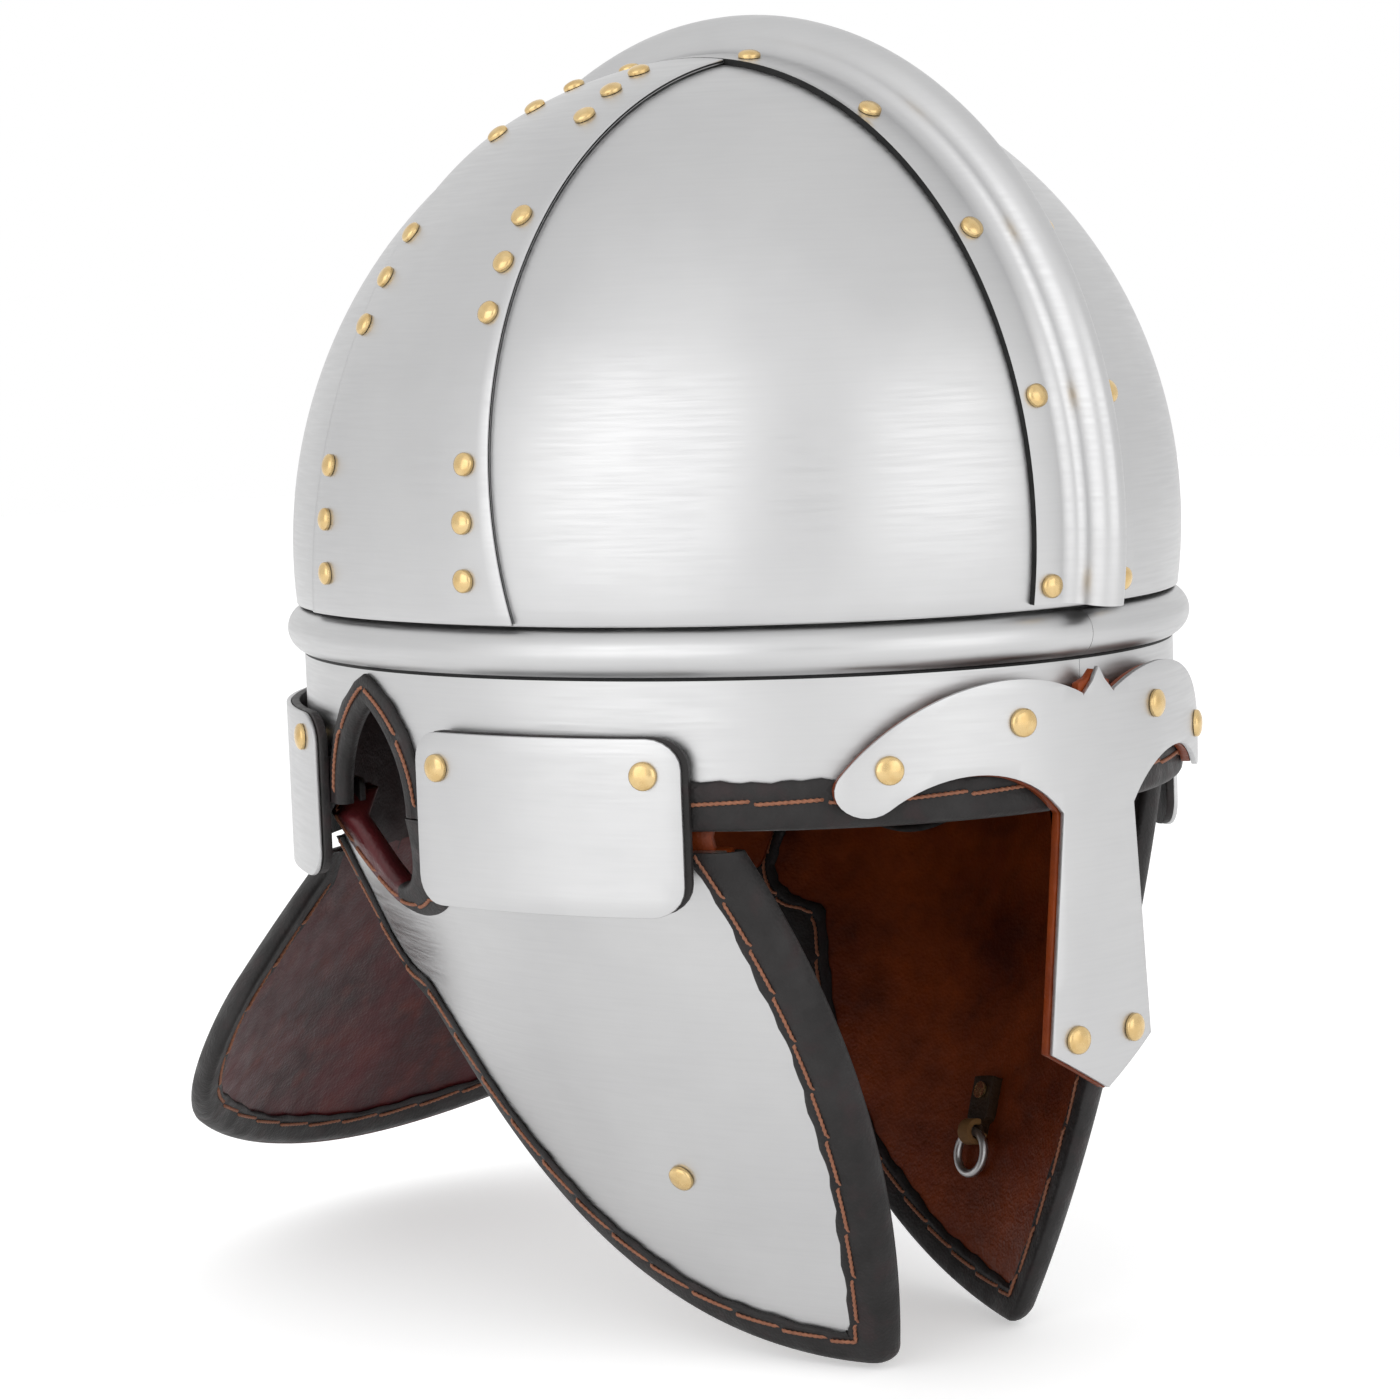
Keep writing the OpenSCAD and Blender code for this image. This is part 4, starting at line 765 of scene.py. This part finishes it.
@lru_cache(None)
def cheek_edge(inset):
    """The bound edge of a guard, from its front top corner round tip and rear lobe to its rear top corner."""
    front, low, lobe, tip = FRONT_R - inset, LOW_R - inset, LOBE_R - inset, max(TIP_R, inset)
    top = (FRONT_AT[0] - sqrt(front ** 2 - (CHEEK_TOP - FRONT_AT[1]) ** 2), CHEEK_TOP)
    hub = meet(FRONT_AT, FRONT_R - tip, LOW_AT, LOW_R - tip, (-73, -135))
    a0, a1 = bearing(FRONT_AT, hub) % 360, bearing(LOW_AT, hub) % 360
    neck = meet(LOW_AT, low, LOBE_AT, lobe, (41, -50))
    edge = arc(FRONT_AT, front, bearing(FRONT_AT, top) % 360, a0, 40)
    edge += arc(hub, max(TIP_R - inset, 0.01), a0, a1, 8)[1:-1]
    edge += arc(LOW_AT, low, a1, bearing(LOW_AT, neck) % 360 - 3, 44)
    into = arc(LOBE_AT, lobe, bearing(LOBE_AT, neck) + 120 / lobe ** 0.5, 0, 12)
    leave, enter = Vector(edge[-1]), Vector(into[0])
    edge += [tuple(leave.lerp(neck, t).lerp(neck.lerp(enter, t), t)) for t in (0.25, 0.5, 0.75)]
    edge += into
    rear = edge[-1]
    return edge + [(rear[0], rear[1] + (ear_top(rear[0]) - rear[1]) * i / 6) for i in range(1, 7)]


def cheek_outline(inset):
    """The whole outline: the bound edge, then over the notch for the ear and along the top."""
    first = -6 - degrees(asin(3.5 / NOTCH_R))
    return cheek_edge(inset) + arc(EAR_AT, NOTCH_R, first, -177.3, 24)


def seam_line(spot, r, out, stations):
    """The line of a seam along a binding, with the direction out of the leather at each station."""
    line = []
    for j in stations:
        p = Vector(spot(BIND_SEAM, r, j))
        line.append((p, (Vector(spot(BIND_SEAM, r + 1, j)) - p) * out))
    return line


bind_out, bind_in = fold_over(BIND_W, BIND_IN_R, BIND_OUT_R, BIND_WALL, BIND_SEAM)
for side, sign in SIDES:
    def on_cheek(r):
        return lambda y, z: (sign * cheek_x(y, z, r), y, z)

    guard = "cheek_guard_" + side
    lining = cut_blank("cheek_leather_" + side, cheek_outline(UNDER_BIND), 6, on_cheek(LINING_R))
    finish_piece(lining, brown_calf, wall=2.5, soften=0.4)
    fit(lining, guard, "brown_leather", "cheek_lining_" + side)
    plate = cut_blank("cheek_steel_" + side, cheek_outline(UNDER_BIND), 6, on_cheek(PLATE_R))
    finish_piece(plate, satin_steel, wall=1.2, soften=0.25)
    fit(plate, guard, "satin_steel", "cheek_plate_" + side)
    flap = cut_blank("nape_flap_" + side, rounded(*FLAP), 4, on_cheek(FLAP_R))
    finish_piece(flap, brown_calf, wall=1.8, soften=0.4)
    fit(flap, guard, "brown_leather")

    def gusset_spot(y, z):
        """A place on the gusset, which follows the guard and then stands straight up."""
        x, y, _ = on_cheek(GUSSET_R)(y, min(z, GUSSET_BEND))
        return (x, y, z)

    gusset = cut_blank("ear_gusset_" + side, rounded(*GUSSET), 3, gusset_spot)
    finish_piece(gusset, black_calf, wall=1.6, soften=0.3)
    fit(gusset, guard, "black_leather")

    def bind_spot(inset, r, j):
        """A place on a guard's binding, in from its edge and out from the roll's axis."""
        return on_cheek(r)(*cheek_edge(inset)[j])

    stations = len(cheek_edge(0)) - 1
    binding = swept("cheek_edge_binding_" + side, bind_out, bind_in, stations, bind_spot, ragged=0.3)
    finish_piece(binding, black_calf, smooth=60)
    fit(binding, guard, "black_leather", "cheek_binding_" + side)
    for face, r, out in (("out", BIND_OUT_R, 1), ("in", BIND_IN_R, -1)):
        line = seam_line(bind_spot, r, out, range(stations + 1))
        stitch("cheek_thread_%s_%s" % (face, side), line, guard, length=13)

# Ear loops: oxblood leather rolled over a cord behind the lower part of each ear opening, and a black strip
# before it. Both are folded over the guard's notch, sewn along the outer edge and tucked up behind the ear
# trim.
LOOP_W, LOOP_OUT_R, LOOP_WALL, LOOP_SEAM, LOOP_STEPS = 8, 150, 1.2, 5.8, 30
HOLE = [
    (43, 1.5), (37.5, -3), (33, -9), (29.5, -15), (25, -19.2),
    (19.5, -17.5), (15, -12.5), (11.5, -6.5), (9, -0.8),
]
OUTSIDE = [
    (56, 1.5), (53, -4), (48, -11), (40, -19), (30, -25.5), (17, -27), (5, -22.5), (-2, -13), (-4, -0.8),
]

# Oxblood calf: deep red brown with a soft gloss, mottled from nearly black to wine red in patches of 30 mm.
oxblood_calf = leather("oxblood_dyed_calf", "#281012", "#561c20", 30, 0.9, 0.4, "#5c1f17")


def along(path, t):
    """A place on a smooth curve through the points of a path, t running from 0 to 1."""
    i = min(int(t * (len(path) - 1)), len(path) - 2)
    f = t * (len(path) - 1) - i
    before, a, b, after = (Vector(path[min(max(k, 0), len(path) - 1)]) for k in (i - 1, i, i + 1, i + 2))
    bend = 2 * before - 5 * a + 4 * b - after + f * (3 * (a - b) + after - before)
    return a + f * ((b - before) + f * bend) / 2


def loop_spot(width, r, t):
    """A place on the left loop, across it from the hole and round it from its tucked rear end."""
    y, z = along(HOLE, t).lerp(along(OUTSIDE, t), width / LOOP_W)
    tucked = 1.3 * max(0, z + 4) if t < 0.5 else 0
    return (cheek_x(y, z, r - tucked), y, z)


loop_out, loop_in = fold_over(LOOP_W, BIND_IN_R, LOOP_OUT_R, LOOP_WALL, LOOP_SEAM)
for side, sign in SIDES:
    guard = "cheek_guard_" + side
    for part, calf, slot, nodes, first, last in (
        ("roll", oxblood_calf, "oxblood_leather", ["ear_loop_" + side], 0, 0.5),
        ("stay", black_calf, "black_leather", [], 0.5, 1),
    ):
        def part_spot(width, r, j):
            x, y, z = loop_spot(width, r, first + (last - first) * j / LOOP_STEPS)
            return (sign * x, y, z)

        loop = swept("ear_%s_%s" % (part, side), loop_out, loop_in, LOOP_STEPS, part_spot)
        finish_piece(loop, calf, smooth=60)
        fit(loop, guard, slot, *nodes)
        line = [(part_spot(LOOP_SEAM, LOOP_OUT_R, j), (sign, 0.3, -0.2)) for j in range(LOOP_STEPS + 1)]
        stitch("ear_%s_thread_%s" % (part, side), line, guard, slot, length=10)

# Cheek hinge leathers: brown straps inside the rim, under the hinge plates' rivets, that run down into the
# guards' linings and are shaped with a bend where a guard swings.
TONGUE = [(-74, 20), (-74, -6.5), (-6, -6.5), (-6, 20)]
HINGE_RIM_R, HINGE_GUARD_R = 97.8, 147.4
for side, sign in SIDES:
    def hinge_spot(y, z):
        """A place on the strap, which passes from the rim's form to the guard's within 3 mm."""
        share = min(1, max(0, (0.5 - z) / 3))
        rim, guard = rim_x(y, HINGE_RIM_R), cheek_x(y, z, HINGE_GUARD_R)
        return (sign * (rim + (guard - rim) * share), y, z)

    strap = cut_blank("cheek_hinge_strap_" + side, TONGUE, 2.5, hinge_spot)
    finish_piece(strap, brown_calf, wall=2.4, soften=0.4)
    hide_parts("cheek_hinge_leather_" + side)
    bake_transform(strap)

# Chin fastening: a tab of dark bridle leather, riveted inside each cheek guard, whose end is folded into an
# eye and shows its tan rough side there. A loose ring of steel wire hangs in the eye and takes the chin
# cord.
CHIN_R, CHIN_DOWN, CHIN_GRIP = 145, -33.8, 7
CHIN_LEAN, CHIN_TWIST, CHIN_SWEEP = radians(24.7), radians(-5.8), radians(-10.8)
TAB = [
    (-4, 3.8), (-2, 4), (2, 4), (4, 3.8), (4, -7),
    (2.2, -8.5), (2.2, -11), (-2.2, -11), (-2.2, -8.5), (-4, -7),
]
EYE_X, EYE_Z, EYE_HALF, EYE_R, EYE_BORE = -3.5, -11, 2.2, 3.4, 1.9
EYE_LOOP = [
    (EYE_BORE, -EYE_HALF), (EYE_R, -EYE_HALF), (EYE_R, EYE_HALF), (EYE_BORE, EYE_HALF), (EYE_BORE, -EYE_HALF),
]
RING_R, WIRE_R, RING_LEAN = 5.4, 1.1, radians(-8)

# Bridle leather: nearly black brown with a waxed sheen, lighter in small patches of 12 mm.
bridle_leather = leather("dark_bridle_leather", "#1e1409", "#352314", 12, 0.8, 0.5)
for side, sign in SIDES:
    guard = "cheek_guard_" + side
    chin = (
        Matrix.Translation((CHEEK_AXIS_X, CHEEK_AXIS_Y, 0))
        @ Matrix.Rotation(CHIN_LEAN, 4, "Y") @ Matrix.Rotation(CHIN_TWIST, 4, "X")
        @ Matrix.Rotation(CHIN_SWEEP, 4, "Z") @ Matrix.Translation((CHIN_R, 0, CHIN_DOWN))
    )

    def at_chin(x, y, z):
        """A place seen from the tab's rivet: out of the guard, along it and up it."""
        p = chin @ Vector((x, y, z))
        return (sign * p.x, p.y, p.z)

    def eye_spot(u, v):
        r, y = EYE_LOOP[round(v * 4)]
        return at_chin(EYE_X + r * cos(2 * pi * u), y, EYE_Z + r * sin(2 * pi * u))

    tab = cut_blank("chin_cord_tab_" + side, TAB, 1.5, lambda y, z: at_chin(-0.1, y, z))
    finish_piece(tab, bridle_leather, wall=3, soften=0.5)
    loop = formed_sheet("chin_eye_" + side, 36, 4, eye_spot)
    finish_piece(loop, tan_suede, soften=0.4)
    fit(tab, guard, "brown_leather", "chin_tab_" + side)
    fit(loop, guard, "brown_leather", "chin_tab_" + side)
    place = Vector(at_chin(PLATE_R - CHIN_R + 0.05, 0, 0))
    out = Vector(at_chin(10, 0, 0)) - place
    set_rivets("chin_tab_rivet_" + side, BIG_HEAD, CHIN_GRIP, [(place, out)], guard, "chin_rivet_" + side)

    def ring_spot(u, v):
        a, b = 2 * pi * u, 2 * pi * v
        r = RING_R + WIRE_R * cos(b)
        x, y, z = WIRE_R * sin(b), r * cos(a), -RING_R + r * sin(a)
        swung_x = EYE_X + x * cos(RING_LEAN) + z * sin(RING_LEAN)
        return at_chin(swung_x, y, EYE_Z - x * sin(RING_LEAN) + z * cos(RING_LEAN))

    ring = formed_sheet("chin_cord_ring_" + side, 40, 14, ring_spot)
    finish_piece(ring, satin_steel, smooth=60)
    fit(ring, "chin_ring_" + side, "satin_steel", "chin_ring_" + side)

# Neck guard: a flared fan of 1.2 mm steel lined with mottled oxblood leather, bound in black calf like the
# cheek guards. It hangs from an oxblood leather strap inside the rim.
NECK_Y, NECK_R, NECK_TOP, NECK_FLARE = -3.615, 115, -21.2, radians(28)
NECK_CORNER, CORNER_R, NECK_ARC, NECK_ARC_R = (63, -72.5), 28, (0, 32), 150
NECK_LINING, NECK_PLATE, NECK_BIND_IN, NECK_BIND_OUT = 2.5, 3.8, -1.3, 5.1  # out from the flared form
NECK_FOLD, NECK_HINGE_OFF = [(-50, 20), (-50, -26), (50, -26), (50, 20)], 2.4


def neck_y(x, z, off):
    """How far back the flared form lies, at a place across it and a height."""
    r = NECK_R + tan(NECK_FLARE) * (NECK_TOP - z) + off / cos(NECK_FLARE)
    return NECK_Y + sqrt(r * r - x * x)


@lru_cache(None)
def neck_edge(inset):
    """The bound edge, from the left shoulder round the lower edge to the right shoulder."""
    down = bearing(NECK_ARC, NECK_CORNER)
    corner = arc(NECK_CORNER, CORNER_R - inset, 50, down, 18)
    half = [(59 - inset, -22.45), (59 - inset, -28 - inset / 2)]
    half += [tuple(Vector(half[1]).lerp(Vector(corner[0]), i / 8)) for i in range(1, 8)]
    half += corner + arc(NECK_ARC, NECK_ARC_R - inset, down, -90, 20)[1:]
    return half + [(-x, z) for x, z in half[-2::-1]]


def on_neck(off):
    return lambda x, z: (x, neck_y(x, z, off), z)


lining = cut_blank("neck_leather", neck_edge(UNDER_BIND), 6, on_neck(NECK_LINING))
finish_piece(lining, oxblood_calf, wall=2.5, soften=0.4)
fit(lining, "neck_guard", "oxblood_leather", "neck_lining")
plate = cut_blank("neck_steel", neck_edge(UNDER_BIND), 6, on_neck(NECK_PLATE))
finish_piece(plate, satin_steel, wall=1.2, soften=0.25)
fit(plate, "neck_guard", "satin_steel", "neck_plate")
bind_out, bind_in = fold_over(BIND_W, NECK_BIND_IN, NECK_BIND_OUT, BIND_WALL, BIND_SEAM)


def neck_spot(inset, off, j):
    """A place on the neck guard's binding, in from its edge and out from the flared form."""
    return on_neck(off)(*neck_edge(inset)[j])


stations = len(neck_edge(0)) - 1
binding = swept("neck_edge_binding", bind_out, bind_in, stations, neck_spot, ragged=0.3)
finish_piece(binding, black_calf, smooth=60)
fit(binding, "neck_guard", "black_leather", "neck_binding")
for face, off, out in (("out", NECK_BIND_OUT, 1), ("in", NECK_BIND_IN, -1)):
    stitch("neck_thread_" + face, seam_line(neck_spot, off, out, range(1, stations)), "neck_guard", length=14)


def neck_hinge_spot(x, z):
    """A place on the strap, which passes from the rim's form to the guard's within 3.5 mm."""
    share = min(1, max(0, (-18.5 - z) / 3.5))
    rim, guard = RIM_K * sqrt(HINGE_RIM_R ** 2 - x * x), neck_y(x, z, NECK_HINGE_OFF)
    return (x, rim + (guard - rim) * share, z)


# Oxblood calf darkened nearly to black, and matt: painted shade on the strap inside the rim, for the dark
# inside seen through the ear openings.
oxblood_painted_shade = leather("oxblood_calf_painted_shade", "#140a0b", "#241012", 30, 0.9, 0.6, "#26110f")
strap = cut_blank("neck_hinge_strap", NECK_FOLD, 3, neck_hinge_spot)
finish_piece(strap, oxblood_painted_shade, wall=2.4, soften=0.4)
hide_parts("neck_hinge_leather")
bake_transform(strap)

# Studio: a pale floor under the guards' tips, a white surround, three large soft lamps and the camera at the
# photograph's angle.
FLOOR_Z, FLOOR_SIZE, LAMP_AIM = -0.1366, 8, Vector((0, 0, 0.03))
CAMERA_TURN, CAMERA_LIFT, CAMERA_ROLL = radians(-41.96), radians(6.02), radians(-2.07)
CAMERA_RIGHT, CAMERA_UP, CAMERA_BACK = -8.82, 18.02, 904.07
FOCUS_PX, PHOTO_PX, SENSOR = 3554.7, 1400, 36

# White paper: matt, with a glow that only the camera and reflections see, so it is white beyond the shadow.
bpy.ops.object.select_all(action="DESELECT")
bpy.ops.mesh.primitive_plane_add(size=FLOOR_SIZE, location=(0, 0, FLOOR_Z))
floor = bpy.context.object
floor.name = "floor"
paper = bpy.data.materials.new("white_paper_floor")
paper.use_nodes = True
tree = paper.node_tree
ray = put(tree, "LightPath", {}).outputs
seen = put(tree, "Math", {0: ray["Is Camera Ray"], 1: ray["Is Glossy Ray"]}, operation="MAXIMUM")
glow = put(tree, "Math", {0: seen.outputs[0], 1: 0.4}, operation="MULTIPLY")
feed(tree, tree.nodes["Principled BSDF"], {
    "Base Color": linear("#f2f2f2"), "Roughness": 0.9,
    "Emission Color": linear("#ffffff"), "Emission Strength": glow.outputs[0],
})
floor.data.materials.append(paper)

world = bpy.data.worlds.new("white_studio")
bpy.context.scene.world = world
world.use_nodes = True
tree = world.node_tree
ray = put(tree, "LightPath", {}).outputs
seen = put(tree, "Math", {0: ray["Is Camera Ray"], 1: ray["Is Glossy Ray"]}, operation="MAXIMUM")
seen = put(tree, "Math", {0: seen.outputs[0], 1: ray["Is Transmission Ray"]}, operation="MAXIMUM")
level = put(tree, "MapRange", {0: seen.outputs[0], 1: 0, 2: 1, 3: 0.8, 4: 1})
feed(tree, tree.nodes["Background"], {"Color": linear("#ffffff"), "Strength": level.outputs[0]})


def soft_lamp(name, place, size, power):
    """A large soft box, turned to the helmet."""
    bpy.ops.object.light_add(type="AREA", location=place)
    lamp = bpy.context.object
    lamp.name = name
    lamp.data.shape, lamp.data.size, lamp.data.size_y = "RECTANGLE", size[0], size[1]
    lamp.data.energy = power
    lamp.rotation_euler = (LAMP_AIM - Vector(place)).to_track_quat("-Z", "Y").to_euler()


soft_lamp("side_lamp", (-1.58, -0.22, 0.33), (1.6, 1.5), 7.4)
soft_lamp("front_lamp", (-0.08, -1.6, 0.31), (1.35, 1.5), 5.2)
soft_lamp("upper_lamp", (-1.1, -0.5, 1.4), (2, 1.4), 2.2)

flat = cos(CAMERA_LIFT)
back = Vector((sin(CAMERA_TURN) * flat, -cos(CAMERA_TURN) * flat, sin(CAMERA_LIFT)))
right = Vector((cos(CAMERA_TURN), sin(CAMERA_TURN), 0))
up = back.cross(right)
cosine, sine = cos(CAMERA_ROLL), sin(CAMERA_ROLL)
axes = (cosine * right + sine * up, -sine * right + cosine * up, back)
stand = (axes[2] * CAMERA_BACK + axes[0] * CAMERA_RIGHT + axes[1] * CAMERA_UP) * MM
bpy.ops.object.camera_add(location=stand)
camera = bpy.context.object
camera.data.sensor_width, camera.data.lens = SENSOR, FOCUS_PX / PHOTO_PX * SENSOR
camera.data.clip_start, camera.data.clip_end = 0.01, 20
camera.rotation_euler = Matrix(axes).transposed().to_euler()
bpy.context.scene.camera = camera
bpy.context.scene.view_settings.view_transform = "Standard"
